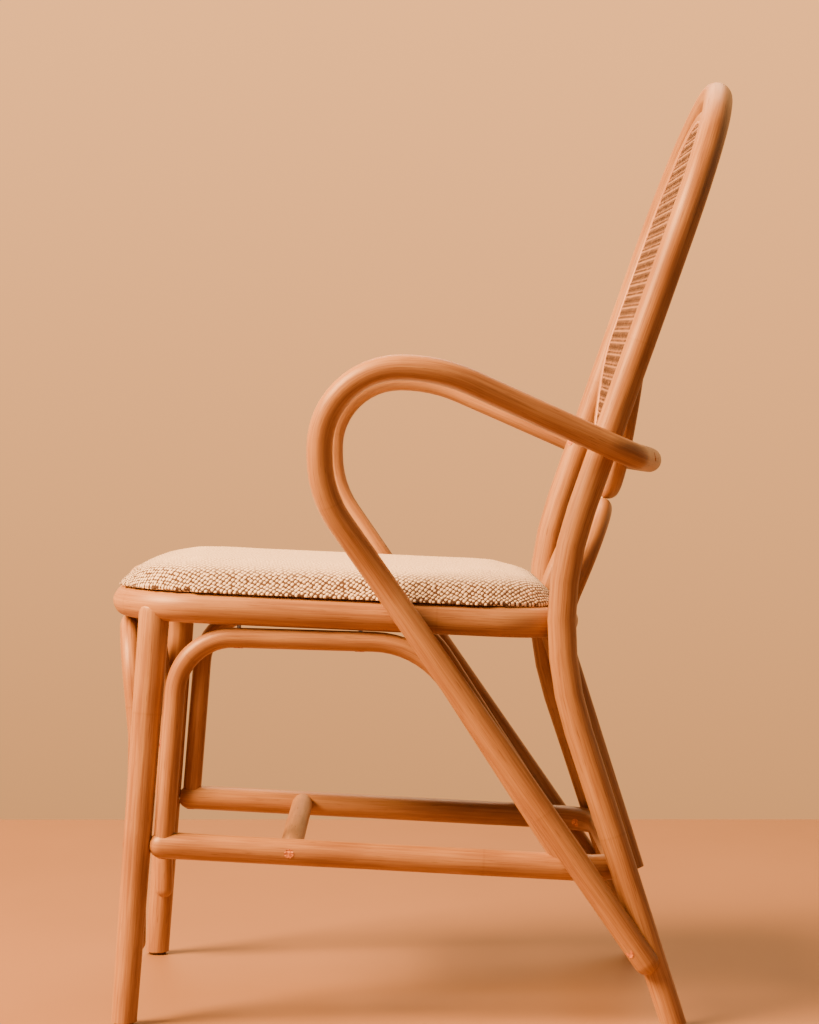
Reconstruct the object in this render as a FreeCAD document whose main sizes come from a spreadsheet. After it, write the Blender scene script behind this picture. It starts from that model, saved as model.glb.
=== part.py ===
import FreeCAD, Part
import math
import os

import Sketcher
from FreeCAD import Placement, Rotation, Vector

# Rattan armchair: bent poles joined face to face with screws, a caned back and a padded seat.
# +X is the sitter's left, -Y is the front, +Z is up, and the feet stand on Z = 0.
# "Back" is the distance behind the front rail of the seat ring, and heights are from the floor.

# Driving sizes, in millimetres and degrees
SIZES = {
    # Seat ring, measured on the centreline of its pole
    "rail_diameter": 29.5,
    "seat_width": 390.0,
    "seat_depth": 423.0,
    "seat_front_height": 403.0,
    "seat_slope_angle": 2.65,
    "front_corner_radius": 80.0,
    "rear_corner_radius": 75.0,
    "front_rail_bow": 9.0,
    "front_bow_radius": 900.0,
    # Back pole: one bent pole that makes the back's outer loop and both rear legs
    "back_diameter": 28.5,
    "waist_diameter": 27.4,
    "rear_foot_diameter": 24.5,
    "back_height": 922.0,
    "back_lean_angle": 19.5,
    "rear_leg_rake_angle": 18.0,
    "rear_leg_splay_angle": 0.7,
    "waist_radius": 330.0,
    "waist_rise": 5.0,
    "post_bearing_angle": 42.0,
    "shoulder_radius": 150.0,
    "crown_radius": 240.0,
    "shoulder_slant_angle": 62.0,
    # Front legs
    "front_leg_diameter": 30.0,
    "front_foot_diameter": 24.5,
    "front_leg_bearing_angle": 39.0,
    "front_leg_overhang": 3.0,
    "front_leg_side_splay_angle": 2.2,
    "front_leg_front_splay_angle": 4.2,
    "leg_end_rounding": 11.0,
    "leg_end_rise": 3.0,
    # Arm pole: brace, arm loop and arm on each side, and the bar behind the back
    "arm_diameter": 24.5,
    "brace_angle": 34.7,
    "brace_setback": 152.6,
    "brace_bend_rise": 39.5,
    "brace_bend_radius": 260.0,
    "brace_foot_height": 63.0,
    "loop_height": 117.67,
    "loop_low_radius": 112.0,
    "loop_low_outset": 53.0,
    "loop_top_radius": 75.5,
    "arm_rise": 224.3,
    "arm_outset": 70.0,
    "arm_top_length": 110.8,
    "arm_top_radius": 148.0,
    "arm_fall": 82.3,
    "arm_bar_drop": 7.0,
    "arm_corner_radius": 45.0,
    "arm_corner_turn_angle": 82.0,
    "arm_corner_bearing_angle": 45.0,
    "arm_bar_radius": 600.0,
    # Oval ring that carries the cane, inside the back's loop
    "oval_diameter": 19.5,
    "oval_knee_share": 0.4455,
    "oval_knee_radius": 260.0,
    "oval_low_lean_angle": 8.3,
    "oval_bottom_drop": 27.0,
    "oval_bottom_radius": 110.0,
    # Cane panel and the spline that holds it
    "cane_thickness": 1.6,
    "cane_forward": 6.0,
    "spline_diameter": 3.6,
    "spline_inset": 5.6,
    "spline_forward": 7.2,
    "cane_opening_pitch": 30.0,
    "cane_opening_width": 15.0,
    "cane_margin": 12.0,
    # Side arches
    "arch_diameter": 19.5,
    "side_arch_front_back": 52.0,
    "side_arch_front_lean_angle": 4.5,
    "side_arch_front_radius": 56.0,
    "side_arch_front_drop": 3.0,
    "side_arch_rear_setback": 138.0,
    "side_arch_rear_radius": 90.0,
    "side_arch_rear_angle": 32.8,
    # Front arch
    "front_arch_diameter": 19.0,
    "front_arch_radius": 62.0,
    "front_arch_knee_drop": 128.0,
    "front_arch_knee_radius": 120.0,
    "front_arch_end_height": 75.0,
    "front_arch_lead": 9.0,
    "front_arch_tail": 4.0,
    # Rear arch, behind the waist
    "rear_arch_diameter": 19.0,
    "rear_arch_top_angle": 27.0,
    "rear_arch_top_radius": 78.0,
    "rear_arch_waist_setback": 16.0,
    "rear_arch_waist_drop": 6.0,
    "rear_arch_waist_radius": 90.0,
    "rear_arch_setback": 11.5,
    # Stretchers
    "stretcher_diameter": 25.5,
    "stretcher_height": 173.7,
    "stretcher_slope_angle": 3.1,
    "stretcher_corner_radius": 48.0,
    "stretcher_outset": 1.5,
    "stretcher_lap": 2.4,
    "cross_diameter": 22.0,
    "cross_back": 157.0,
    # Padded seat
    "board_thickness": 12.0,
    "board_inset": 1.0,
    "seat_rear_draw": 14.0,
    "seat_screw_inset": 7.0,
    "foam_height": 35.0,
    "foam_overhang": 10.7,
    "foam_front_ease": 50.0,
    "cover_thickness": 1.2,
    "cover_flange": 30.0,
    "dust_cover_thickness": 0.8,
    "dust_cover_margin": 18.0,
    # Screws, plugs and glides
    "screw_diameter": 4.0,
    "screw_head_diameter": 7.6,
    "screw_head_height": 3.0,
    "screw_tip_length": 5.0,
    "screw_tip_wall": 4.0,
    "screw_step": 5.0,
    "plug_diameter": 9.0,
    "plug_depth": 4.0,
    "leg_screw_reach": 30.0,
    "leg_screw_inset": 4.0,
    "glide_diameter": 19.0,
    "glide_height": 3.0,
    "glide_edge": 1.0,
    "nail_diameter": 2.2,
    "nail_length": 18.0,
    # Clearance of every seated piece, and the overrun of every cutter
    "gap": 0.2,
    "overrun": 30.0,
    # Shortest straight run and smallest taper that are made
    "tolerance": 0.007,
}

doc = FreeCAD.newDocument("rattan_armchair")
sheet = doc.addObject("Spreadsheet::Sheet", "sizes")
for row, (alias, value) in enumerate(SIZES.items(), 1):
    sheet.set(f"A{row}", alias)
    sheet.set(f"B{row}", str(value))
    sheet.setAlias(f"B{row}", alias)
doc.recompute()


def size(alias):
    """Gives one driving size from the sheet."""
    return float(sheet.get(alias))


def radius(alias):
    """Gives half of a diameter from the sheet."""
    return size(alias) / 2


def slope(alias):
    """Gives the tangent of an angle from the sheet."""
    return math.tan(math.radians(size(alias)))


gap = size("gap")
overrun = size("overrun")
tolerance = size("tolerance")
rail_r = radius("rail_diameter")
back_r = radius("back_diameter")
waist_r = radius("waist_diameter")
arm_r = radius("arm_diameter")
oval_r = radius("oval_diameter")
arch_r = radius("arch_diameter")
front_arch_r = radius("front_arch_diameter")
rear_arch_r = radius("rear_arch_diameter")
stretcher_r = radius("stretcher_diameter")

UP = Vector(0, 0, 1)
DOWN = Vector(0, 0, -1)
BACKWARD = Vector(0, 1, 0)
OUTWARD = Vector(1, 0, 0)
SIDES = {"left": 1, "right": -1}


# Places that several poles share

def rail_height(back):
    """Gives the height of the seat ring's centreline."""
    return size("seat_front_height") - back * slope("seat_slope_angle")


def stretcher_height(back):
    """Gives the height of the stretcher's centreline."""
    return size("stretcher_height") - back * slope("stretcher_slope_angle")


# The back pole stands beside the seat ring's rear corner
rail_x = size("seat_width") / 2
post_distance = size("rear_corner_radius") + rail_r + waist_r + gap
post_bearing = math.radians(size("post_bearing_angle"))
rear_corner_x = rail_x - size("rear_corner_radius")
rear_corner_back = size("seat_depth") - size("rear_corner_radius")
post_x = rear_corner_x + post_distance * math.cos(post_bearing)
post_back = rear_corner_back + post_distance * math.sin(post_bearing)
waist_turn = math.radians(size("back_lean_angle") + size("rear_leg_rake_angle"))
waist_back = post_back - size("waist_radius") * (1 / math.cos(waist_turn / 2) - 1)
waist_z = rail_height(post_back) + size("waist_rise")

# The back's loop leans from the waist up to its crown
lean = math.radians(size("back_lean_angle"))
crown_z = size("back_height") - back_r
crown_back = waist_back + (crown_z - waist_z) * math.tan(lean)
slant = math.radians(size("shoulder_slant_angle"))
crown_corner_rise = (crown_z - waist_z) / math.cos(lean) + size("crown_radius") * (1 / math.sin(slant) - 1)
shoulder_corner_rise = crown_corner_rise - post_x / math.tan(slant)

# Heights of the arms and of the oval ring, which its bottom hangs from the arm's bar
arm_z = rail_height(0) + size("arm_rise")
arm_rear_z = arm_z - size("arm_fall")
arm_bar_z = arm_rear_z - size("arm_bar_drop")
oval_bottom_z = arm_bar_z - size("oval_bottom_drop")

# The middle of the chair's depth is the origin's place
bow_turn = math.atan(size("front_rail_bow") / rail_x)
front_apex = size("front_rail_bow") - size("front_bow_radius") * (1 / math.cos(bow_turn) - 1)
middle = (crown_back + back_r - front_apex - rail_r) / 2


def at(x, back, height):
    """Gives the point at a distance back and a height."""
    return Vector(x, back - middle, height)


def on_back(x, rise, forward=0.0):
    """Gives the point of the back's leaning plane at a rise above the waist, or forward of it."""
    back = waist_back + rise * math.sin(lean) - forward * math.cos(lean)
    return at(x, back, waist_z + rise * math.cos(lean) + forward * math.sin(lean))


def rear_leg_at(height):
    """Gives the x and back of the rear leg's centreline below the waist."""
    drop = waist_z - height
    return post_x + drop * slope("rear_leg_splay_angle"), waist_back + drop * slope("rear_leg_rake_angle")


waist_reach = size("waist_radius") * math.tan(waist_turn / 2)
leg_straight_z = waist_z - waist_reach * math.cos(math.radians(size("rear_leg_rake_angle")))


def rear_leg_radius(height):
    """Gives the tapered rear leg's radius below the waist."""
    share = min((height + overrun) / (leg_straight_z + overrun), 1)
    return radius("rear_foot_diameter") + share * (waist_r - radius("rear_foot_diameter"))


# The front leg meets the seat ring's front corner from below
front_reach = size("front_corner_radius") + size("front_leg_overhang")
front_bearing = math.radians(size("front_leg_bearing_angle"))
front_leg_x = rail_x - size("front_corner_radius") + front_reach * math.cos(front_bearing)
front_leg_back = size("front_corner_radius") - front_reach * math.sin(front_bearing)
front_leg_z = rail_height(front_leg_back)


def front_leg_at(height):
    """Gives the x and back of the front leg's centreline."""
    drop = front_leg_z - height
    x = front_leg_x + drop * slope("front_leg_side_splay_angle")
    return x, front_leg_back - drop * slope("front_leg_front_splay_angle")


def front_leg_radius(height):
    """Gives the tapered front leg's radius."""
    share = height / front_leg_z
    top = radius("front_leg_diameter")
    return radius("front_foot_diameter") + share * (top - radius("front_foot_diameter"))


# The stretcher's rear bar passes between the rear legs, and its corners touch them
rake = math.radians(size("rear_leg_rake_angle"))
level_share = 1 - slope("stretcher_slope_angle") * slope("rear_leg_rake_angle")
bar_back = (waist_back + (waist_z - size("stretcher_height")) * slope("rear_leg_rake_angle")) / level_share
bar_z = stretcher_height(bar_back)
corner_r = size("stretcher_corner_radius")
corner_reach = corner_r + stretcher_r + rear_leg_radius(bar_z) / math.cos(rake) + gap
stretcher_x = rear_leg_at(bar_z)[0] - math.sqrt(corner_reach ** 2 - corner_r ** 2) + corner_r
tip_z = stretcher_height(front_leg_back)
tip_x = front_leg_at(tip_z)[0] + size("stretcher_outset")
tip_back = front_leg_at(tip_z)[1] + front_leg_radius(tip_z) - size("stretcher_lap") + stretcher_r


def stretcher_side(back):
    """Gives the x of the stretcher's side rail."""
    share = (back - tip_back) / (bar_back - tip_back)
    return tip_x + share * (stretcher_x - tip_x)


# The brace passes outside the seat ring and outside the stretcher
brace_slope = slope("brace_angle")
rail_cross_back = size("seat_depth") - size("brace_setback")
rail_cross_z = rail_height(rail_cross_back)
rail_cross_x = rail_x + rail_r + arm_r + gap
low_cross_back = rail_cross_back + (rail_cross_z - size("stretcher_height")) * brace_slope
low_cross_back /= 1 - slope("stretcher_slope_angle") * brace_slope
low_cross_z = stretcher_height(low_cross_back)
past_corner = max(low_cross_back - (bar_back - corner_r), 0)
corner_inward = corner_r - math.sqrt(corner_r ** 2 - past_corner ** 2)
low_cross_x = stretcher_x - corner_inward + stretcher_r + arm_r + gap


def brace_at(height):
    """Gives the point of the brace's centreline at a height."""
    share = (rail_cross_z - height) / (rail_cross_z - low_cross_z)
    x = rail_cross_x + share * (low_cross_x - rail_cross_x)
    return at(x, rail_cross_back + (rail_cross_z - height) * brace_slope, height)


# The oval ring follows the back's loop, and below its knee it stands steeper
oval_inset = back_r + oval_r + gap
oval_x = post_x - oval_inset
low_lean = math.radians(size("oval_low_lean_angle"))
oval_shoulder_z = on_back(oval_x, shoulder_corner_rise - oval_inset * math.tan(slant / 2)).z
oval_knee_z = oval_bottom_z + size("oval_knee_share") * (oval_shoulder_z - oval_bottom_z)
knee_back = waist_back + (oval_knee_z - waist_z) * math.tan(lean)
oval_bottom_back = knee_back - (oval_knee_z - oval_bottom_z) * math.tan(low_lean)


def oval_corners(inset=0.0, forward=0.0):
    """Gives the corners of a line beside the oval ring's centreline: crown, shoulder, knee and bottom."""
    moved = oval_inset + inset
    x = oval_x - inset
    crown = on_back(0, crown_corner_rise - moved / math.sin(slant), forward)
    shoulder = on_back(x, shoulder_corner_rise - moved * math.tan(slant / 2), forward)
    bisector = (lean + low_lean) / 2
    stretch = forward / math.cos((lean - low_lean) / 2)
    knee = at(x, knee_back - stretch * math.cos(bisector), oval_knee_z + stretch * math.sin(bisector))
    low_back = oval_bottom_back + inset * math.sin(low_lean) - forward * math.cos(low_lean)
    low_z = oval_bottom_z + inset * math.cos(low_lean) + forward * math.sin(low_lean)
    return crown, shoulder, knee, at(x, low_back, low_z)


# The arm's bar touches the oval ring where the ring's lower corners pass it
arm_reach = back_r + arm_r + gap
half_turn = math.radians(size("arm_corner_turn_angle")) / 2
corner_out = arm_reach + size("arm_corner_radius") * (1 / math.cos(half_turn) - 1)
arm_bearing = math.radians(size("arm_corner_bearing_angle"))
arm_corner_x = post_x + corner_out * math.cos(arm_bearing)
post_back_at_arm = waist_back + (arm_rear_z - waist_z) * math.tan(lean)
arm_corner_back = post_back_at_arm + corner_out * math.sin(arm_bearing)
bar_rise = size("oval_bottom_drop") / math.cos(low_lean)
oval_bend = size("oval_bottom_radius")
touch_x = oval_x - oval_bend + math.sqrt(oval_bend ** 2 - (oval_bend - bar_rise) ** 2)
touch_back = oval_bottom_back + bar_rise * math.sin(low_lean) + (oval_r + arm_r + gap) / math.cos(low_lean)
touch_share = touch_x / arm_corner_x
arm_bar_back = (touch_back - arm_corner_back * touch_share) / (1 - touch_share)


# Centrelines

def mirrored(points):
    """Gives the points on the other side of the chair, in reverse order."""
    return [Vector(-p.x, p.y, p.z) for p in reversed(points)]


def half_turn_at(points, i):
    """Gives half of the angle that a pole turns through at a corner."""
    corner = points[i]
    return (math.pi - (points[i - 1] - corner).getAngle(points[(i + 1) % len(points)] - corner)) / 2


def shared_radii(points, radii, closed):
    """Draws two bends in evenly where the run between them is too short for both."""
    count = len(points)
    reaches = [
        radii[i] * math.tan(half_turn_at(points, i)) if closed or 0 < i < count - 1 else 0
        for i in range(count)
    ]
    shares = [1.0] * count
    for i in range(count if closed else count - 1):
        following = (i + 1) % count
        needed = reaches[i] + reaches[following]
        run = (points[following] - points[i]).Length
        for end in (i, following):
            shares[end] = min(shares[end], run / max(needed, run))
    return [bend * share for bend, share in zip(radii, shares)]


def bends(points, radii, closed=False):
    """Gives straight runs joined by tangent arcs, one arc at each corner."""
    count = len(points)
    radii = shared_radii(points, radii, closed)
    turns = []
    for i, corner in enumerate(points):
        if not closed and i in (0, count - 1):
            turns.append((corner, None, corner))
            continue
        before = points[i - 1] - corner
        after = points[(i + 1) % count] - corner
        before.normalize()
        after.normalize()
        half = half_turn_at(points, i)
        bend = radii[i]
        reach = bend * math.tan(half)
        inward = before + after
        inward.normalize()
        apex = corner + inward * (bend / math.cos(half) - bend)
        turns.append((corner + before * reach, apex, corner + after * reach))
    pieces = []
    for i, (start, apex, end) in enumerate(turns):
        if apex is not None:
            pieces.append(Part.Arc(start, apex, end))
        if i < count - 1 or closed:
            following = turns[(i + 1) % count][0]
            if (following - end).Length > tolerance:
                pieces.append(Part.LineSegment(end, following))
    return pieces


def course(points, radii, closed=False):
    """Makes a pole's centreline as one wire."""
    return Part.Wire([piece.toShape() for piece in bends(points, radii, closed)])


def whole(points, radii):
    """Makes the centreline of a pole that is the same on both sides of the chair."""
    middle_last = points[-1].x == 0
    other = mirrored(points[:-1] if middle_last else points)
    other_radii = list(reversed(radii[:-1] if middle_last else radii))
    return course(points + other, radii + other_radii)


def nearest(line, point):
    """Gives the centreline's point nearest to another point."""
    return line.distToShape(Part.Vertex(point))[1][0][0]


ring_corners = [
    at(rail_x, 0, rail_height(0)),
    at(rail_x, size("seat_depth"), rail_height(size("seat_depth"))),
    at(-rail_x, size("seat_depth"), rail_height(size("seat_depth"))),
    at(-rail_x, 0, rail_height(0)),
    at(0, -size("front_rail_bow"), rail_height(-size("front_rail_bow"))),
]
ring_radii = [
    size("front_corner_radius"),
    size("rear_corner_radius"),
    size("rear_corner_radius"),
    size("front_corner_radius"),
    size("front_bow_radius"),
]
ring_line = course(ring_corners, ring_radii, closed=True)

back_line = whole(
    [
        at(*rear_leg_at(-overrun), -overrun),
        at(post_x, waist_back, waist_z),
        on_back(post_x, shoulder_corner_rise),
        on_back(0, crown_corner_rise),
    ],
    [0, size("waist_radius"), size("shoulder_radius"), size("crown_radius")],
)

# The arm's loop stands on the brace's own slope
loop_low_z = arm_z - size("loop_height")
loop_back = rail_cross_back - (loop_low_z - rail_cross_z) * brace_slope
arm_x = rail_x + size("arm_outset")


def arm_course(bar_middle):
    """Makes the arm pole's centreline, with the middle of its rear bar at a distance back."""
    points = [
        brace_at(size("brace_foot_height")),
        brace_at(rail_cross_z + size("brace_bend_rise")),
        at(rail_x + size("loop_low_outset"), loop_back, loop_low_z),
        at(arm_x, loop_back, arm_z),
        at(arm_x, loop_back + size("arm_top_length"), arm_z),
        at(arm_corner_x, arm_corner_back, arm_rear_z),
        at(0, bar_middle, arm_bar_z),
    ]
    radii = [
        0,
        size("brace_bend_radius"),
        size("loop_low_radius"),
        size("loop_top_radius"),
        size("arm_top_radius"),
        size("arm_corner_radius"),
        size("arm_bar_radius"),
    ]
    return whole(points, radii)


def oval_course(inset=0.0, forward=0.0):
    """Makes a closed line beside the oval ring's centreline."""
    crown, shoulder, knee, bottom = oval_corners(inset, forward)
    half = [shoulder, knee, bottom]
    moved = oval_inset + inset
    radii = [
        size("crown_radius") - moved,
        size("shoulder_radius") - moved,
        size("oval_knee_radius"),
        size("oval_bottom_radius") - inset,
        size("oval_bottom_radius") - inset,
        size("oval_knee_radius"),
        size("shoulder_radius") - moved,
    ]
    return course([crown] + half + mirrored(half), radii, closed=True)


oval_line = oval_course()
spline_line = oval_course(size("spline_inset"), size("spline_forward"))

# The arm's rear bar is moved until it just clears the oval ring
BAR_STEPS = 8
for step in range(BAR_STEPS):
    arm_line = arm_course(arm_bar_back)
    lacking = oval_r + arm_r + gap - arm_line.distToShape(oval_line)[0]
    arm_bar_back += lacking
arm_line = arm_course(arm_bar_back)

stretcher_line = whole(
    [at(tip_x, tip_back, stretcher_height(tip_back)), at(stretcher_x, bar_back, bar_z)],
    [0, corner_r],
)


def side_arch_course(side):
    """Makes one side arch's centreline: two legs on the stretcher, and a bar under the side rail."""
    tuck = (rail_r + arch_r + gap) / math.cos(math.radians(size("seat_slope_angle")))
    front = size("side_arch_front_back")
    front_z = rail_height(front) - tuck - size("side_arch_front_drop")
    rear = size("seat_depth") - size("side_arch_rear_setback")
    rear_turn = math.radians(90 - size("side_arch_rear_angle"))
    rear_reach = size("side_arch_rear_radius") * math.tan(rear_turn / 2)
    rear_z = rail_height(rear) - tuck + size("side_arch_front_drop") * rear_reach / (rear - front - rear_reach)
    lean_in = slope("side_arch_front_lean_angle")
    run_out = slope("side_arch_rear_angle")
    fall = slope("stretcher_slope_angle")
    front_foot = (front - (front_z - size("stretcher_height")) * lean_in) / (1 + fall * lean_in)
    rear_foot = (rear + (rear_z - size("stretcher_height")) * run_out) / (1 - fall * run_out)
    points = [
        at(side * stretcher_side(front_foot), front_foot, stretcher_height(front_foot)),
        at(side * rail_x, front, front_z),
        at(side * rail_x, rear, rear_z),
        at(side * stretcher_side(rear_foot), rear_foot, stretcher_height(rear_foot)),
    ]
    return course(points, [0, size("side_arch_front_radius"), size("side_arch_rear_radius"), 0])


side_arch_lines = {name: side_arch_course(side) for name, side in SIDES.items()}


def beside_front_leg(height, behind):
    """Gives the front arch's place on the inner face of a front leg, behind the leg's axis."""
    x, back = front_leg_at(height)
    return at(x - front_leg_radius(height) - front_arch_r - gap, back + behind, height)


front_arch_z = rail_height(0) - rail_r - front_arch_r - gap
front_knee_z = rail_height(0) - size("front_arch_knee_drop")
front_knee = beside_front_leg(front_knee_z, -size("front_arch_lead"))
front_arch_line = whole(
    [
        beside_front_leg(size("front_arch_end_height"), size("front_arch_tail")),
        front_knee,
        at(front_knee.x, 0, front_arch_z),
        at(0, -size("front_rail_bow"), front_arch_z),
    ],
    [0, size("front_arch_knee_radius"), size("front_arch_radius"), size("front_bow_radius")],
)


def beside_rear_leg(height):
    """Gives the rear arch's place on the inner face of a rear leg, behind the leg's axis."""
    x, back = rear_leg_at(height)
    reach = rear_leg_radius(height) + rear_arch_r + gap
    return at(x - math.sqrt(reach ** 2 - size("rear_arch_setback") ** 2), back + size("rear_arch_setback"), height)


rear_waist = at(
    post_x - waist_r - rear_arch_r - gap,
    waist_back + size("rear_arch_waist_setback"),
    waist_z - size("rear_arch_waist_drop"),
)
rear_top_angle = math.radians(size("rear_arch_top_angle"))
rear_top_reach = oval_r + rear_arch_r + gap
rear_top_back = oval_bottom_back - rear_top_reach * math.sin(rear_top_angle)
rear_top_z = oval_bottom_z - rear_top_reach * math.cos(rear_top_angle)
rear_arch_line = whole(
    [beside_rear_leg(bar_z), rear_waist, at(rear_waist.x, rear_top_back, rear_top_z)],
    [0, size("rear_arch_waist_radius"), size("rear_arch_top_radius")],
)

cross_back = size("cross_back")
cross_z = stretcher_height(cross_back)
cross_ends = [at(side * stretcher_side(cross_back), cross_back, cross_z) for side in SIDES.values()]


# Ways of making solids

def shaped(name, shape):
    """Adds an object that holds a shape made in code."""
    obj = doc.addObject("Part::Feature", name)
    obj.Shape = shape
    return obj


def swept(name, line, diameter, grow=0.0):
    """Sweeps a round pole along its centreline."""
    first = line.Edges[0]
    section = doc.addObject("Part::Circle", f"{name}_section")
    section.setExpression("Radius", f"sizes.{diameter} / 2 + {grow}")
    section.Placement = Placement(line.OrderedVertexes[0].Point, Rotation(UP, first.tangentAt(first.FirstParameter)))
    pole = doc.addObject("Part::Sweep", name)
    pole.Sections = [section]
    pole.Spine = (shaped(f"{name}_line", line), [f"Edge{i + 1}" for i in range(len(line.Edges))])
    pole.Solid = True
    pole.Frenet = False
    return pole


def rounded(pole, line, diameter, grow=0.0):
    """Rounds both ends of a pole with balls of its own diameter."""
    pieces = [pole]
    for i in (0, -1):
        ball = doc.addObject("Part::Sphere", f"{pole.Name}_end")
        ball.setExpression("Radius", f"sizes.{diameter} / 2 + {grow}")
        ball.Placement.Base = line.OrderedVertexes[i].Point
        pieces.append(ball)
    whole_pole = doc.addObject("Part::MultiFuse", f"{pole.Name}_rounded")
    whole_pole.Shapes = pieces
    return whole_pole


def bent(line, radius_at):
    """Makes a round pole stretch by stretch, from the radius that it has at each point."""
    pieces = []
    for edge in line.Edges:
        start = edge.valueAt(edge.FirstParameter)
        end = edge.valueAt(edge.LastParameter)
        if edge.Curve.TypeId == "Part::GeomLine":
            pieces.append(tapered_run(start, end, radius_at(start), radius_at(end)))
        else:
            rim = Part.Circle(start, edge.tangentAt(edge.FirstParameter), radius_at(start))
            pieces.append(Part.Wire([edge]).makePipe(Part.Face(Part.Wire(rim.toShape()))))
    return pieces[0].fuse(pieces[1:]).removeSplitter()


def back_pole_radius(grow):
    """Gives the back pole's radius at a point: thinner at the waist, and again at the feet."""
    levels = sorted(v.Z for v in back_line.Vertexes if v.X > 0)
    leg_top, shoulder = levels[1], levels[3]

    def radius_at(point):
        if point.z < leg_top - gap:
            return radius("rear_foot_diameter") + grow
        return (waist_r if point.z < shoulder - gap else back_r) + grow

    return radius_at


def tapered_run(start, end, start_r, end_r):
    """Makes one straight stretch of pole, tapered where its ends differ."""
    along = end - start
    if abs(start_r - end_r) < tolerance:
        return Part.makeCylinder(start_r, along.Length, start, along)
    return Part.makeCone(start_r, end_r, along.Length, start, along)


def cut(base, tools):
    """Cuts a piece by others, one after another."""
    for tool in tools:
        step = doc.addObject("Part::Cut", f"{base.Name}_cut")
        step.Base = base
        step.Tool = tool
        base = step
    return base


# Poles before their joints are cut, and the same poles grown by the gap as cutters

ring_pole = swept("ring_pole", ring_line, "rail_diameter")
ring_cutter = swept("ring_cutter", ring_line, "rail_diameter", gap)
back_pole = shaped("back_pole", bent(back_line, back_pole_radius(0)))
arm_bent = rounded(shaped("arm_bent", bent(arm_line, lambda point: arm_r)), arm_line, "arm_diameter")
oval_pole = swept("oval_pole", oval_line, "oval_diameter")
oval_cutter = swept("oval_cutter", oval_line, "oval_diameter", gap)
spline = swept("spline_cord", spline_line, "spline_diameter")
spline_cutter = swept("spline_cutter", spline_line, "spline_diameter", 2 * gap)
stretcher_bent = rounded(
    swept("stretcher_bent", stretcher_line, "stretcher_diameter"), stretcher_line, "stretcher_diameter",
)
stretcher_cutter = rounded(
    swept("stretcher_cutter", stretcher_line, "stretcher_diameter", gap),
    stretcher_line, "stretcher_diameter", gap,
)
front_arch_bent = rounded(
    swept("front_arch_bent", front_arch_line, "front_arch_diameter"), front_arch_line, "front_arch_diameter",
)
rear_arch_bent = shaped("rear_arch_bent", bent(rear_arch_line, lambda point: rear_arch_r))
side_arches_bent = {
    name: swept(f"side_arch_bent_{name}", line, "arch_diameter") for name, line in side_arch_lines.items()
}

floor_block = doc.addObject("Part::Box", "floor_block")
floor_block.setExpression("Length", "2 * sizes.back_height")
floor_block.setExpression("Width", "2 * sizes.back_height")
floor_block.setExpression("Height", "2 * sizes.overrun")
floor_block.Placement.Base = Vector(-size("back_height"), -size("back_height"), size("glide_height") - 2 * overrun)


def turned_leg(name, side):
    """Turns one front leg: a taper with a rounded upper end, standing on its splayed axis."""
    foot = at(side * front_leg_at(0)[0], front_leg_at(0)[1], 0)
    top = at(side * front_leg_x, front_leg_back, front_leg_z)
    axis = top - foot
    body = doc.addObject("PartDesign::Body", f"turned_leg_{name}")
    sketch = body.newObject("Sketcher::SketchObject", f"leg_profile_{name}")
    plane = [f for f in body.Origin.OriginFeatures if f.Role == "XZ_Plane"][0]
    sketch.AttachmentSupport = [(plane, "")]
    sketch.MapMode = "FlatFace"
    length = axis.Length + size("leg_end_rise")
    corners = [
        Vector(0, 0, 0),
        Vector(radius("front_foot_diameter"), 0, 0),
        Vector(radius("front_leg_diameter"), length, 0),
        Vector(0, length, 0),
    ]
    for i, corner in enumerate(corners):
        sketch.addGeometry(Part.LineSegment(corner, corners[(i + 1) % len(corners)]))
    for i in range(len(corners)):
        sketch.addConstraint(Sketcher.Constraint("Coincident", i, 2, (i + 1) % len(corners), 1))
    sketch.addConstraint(Sketcher.Constraint("Coincident", 0, 1, -1, 1))
    sketch.addConstraint(Sketcher.Constraint("Horizontal", 0))
    sketch.addConstraint(Sketcher.Constraint("Horizontal", 2))
    sketch.addConstraint(Sketcher.Constraint("Vertical", 3))
    foot_size = sketch.addConstraint(Sketcher.Constraint("DistanceX", 0, 1, 0, 2, radius("front_foot_diameter")))
    top_size = sketch.addConstraint(Sketcher.Constraint("DistanceX", 2, 2, 2, 1, radius("front_leg_diameter")))
    sketch.addConstraint(Sketcher.Constraint("DistanceY", 3, 2, 3, 1, length))
    sketch.setExpression(f"Constraints[{foot_size}]", "sizes.front_foot_diameter / 2")
    sketch.setExpression(f"Constraints[{top_size}]", "sizes.front_leg_diameter / 2")
    turning = body.newObject("PartDesign::Revolution", f"leg_turning_{name}")
    turning.Profile = sketch
    turning.ReferenceAxis = (sketch, ["V_Axis"])
    turning.Angle = 360
    doc.recompute()
    upper = [
        i for i, edge in enumerate(turning.Shape.Edges, 1)
        if edge.Closed and abs(edge.CenterOfMass.z - length) < gap
    ]
    rounding = body.newObject("PartDesign::Fillet", f"leg_rounding_{name}")
    rounding.Base = (turning, [f"Edge{i}" for i in upper])
    rounding.setExpression("Radius", "sizes.leg_end_rounding")
    body.Tip = rounding
    body.Placement = Placement(foot, Rotation(UP, axis))
    return body


turned_legs = {name: turned_leg(name, side) for name, side in SIDES.items()}

cross_pole = doc.addObject("Part::Cylinder", "cross_pole")
cross_pole.setExpression("Radius", "sizes.cross_diameter / 2")
cross_pole.Height = (cross_ends[0] - cross_ends[1]).Length
cross_pole.Placement = Placement(cross_ends[1], Rotation(UP, OUTWARD))


# Screws: each goes through one pole into the next, below a plug of wood

def turned(profile):
    """Turns a closed outline about its own Z axis."""
    return Part.Face(Part.makePolygon(profile + profile[:1])).revolve(Vector(), UP, 360)


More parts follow.
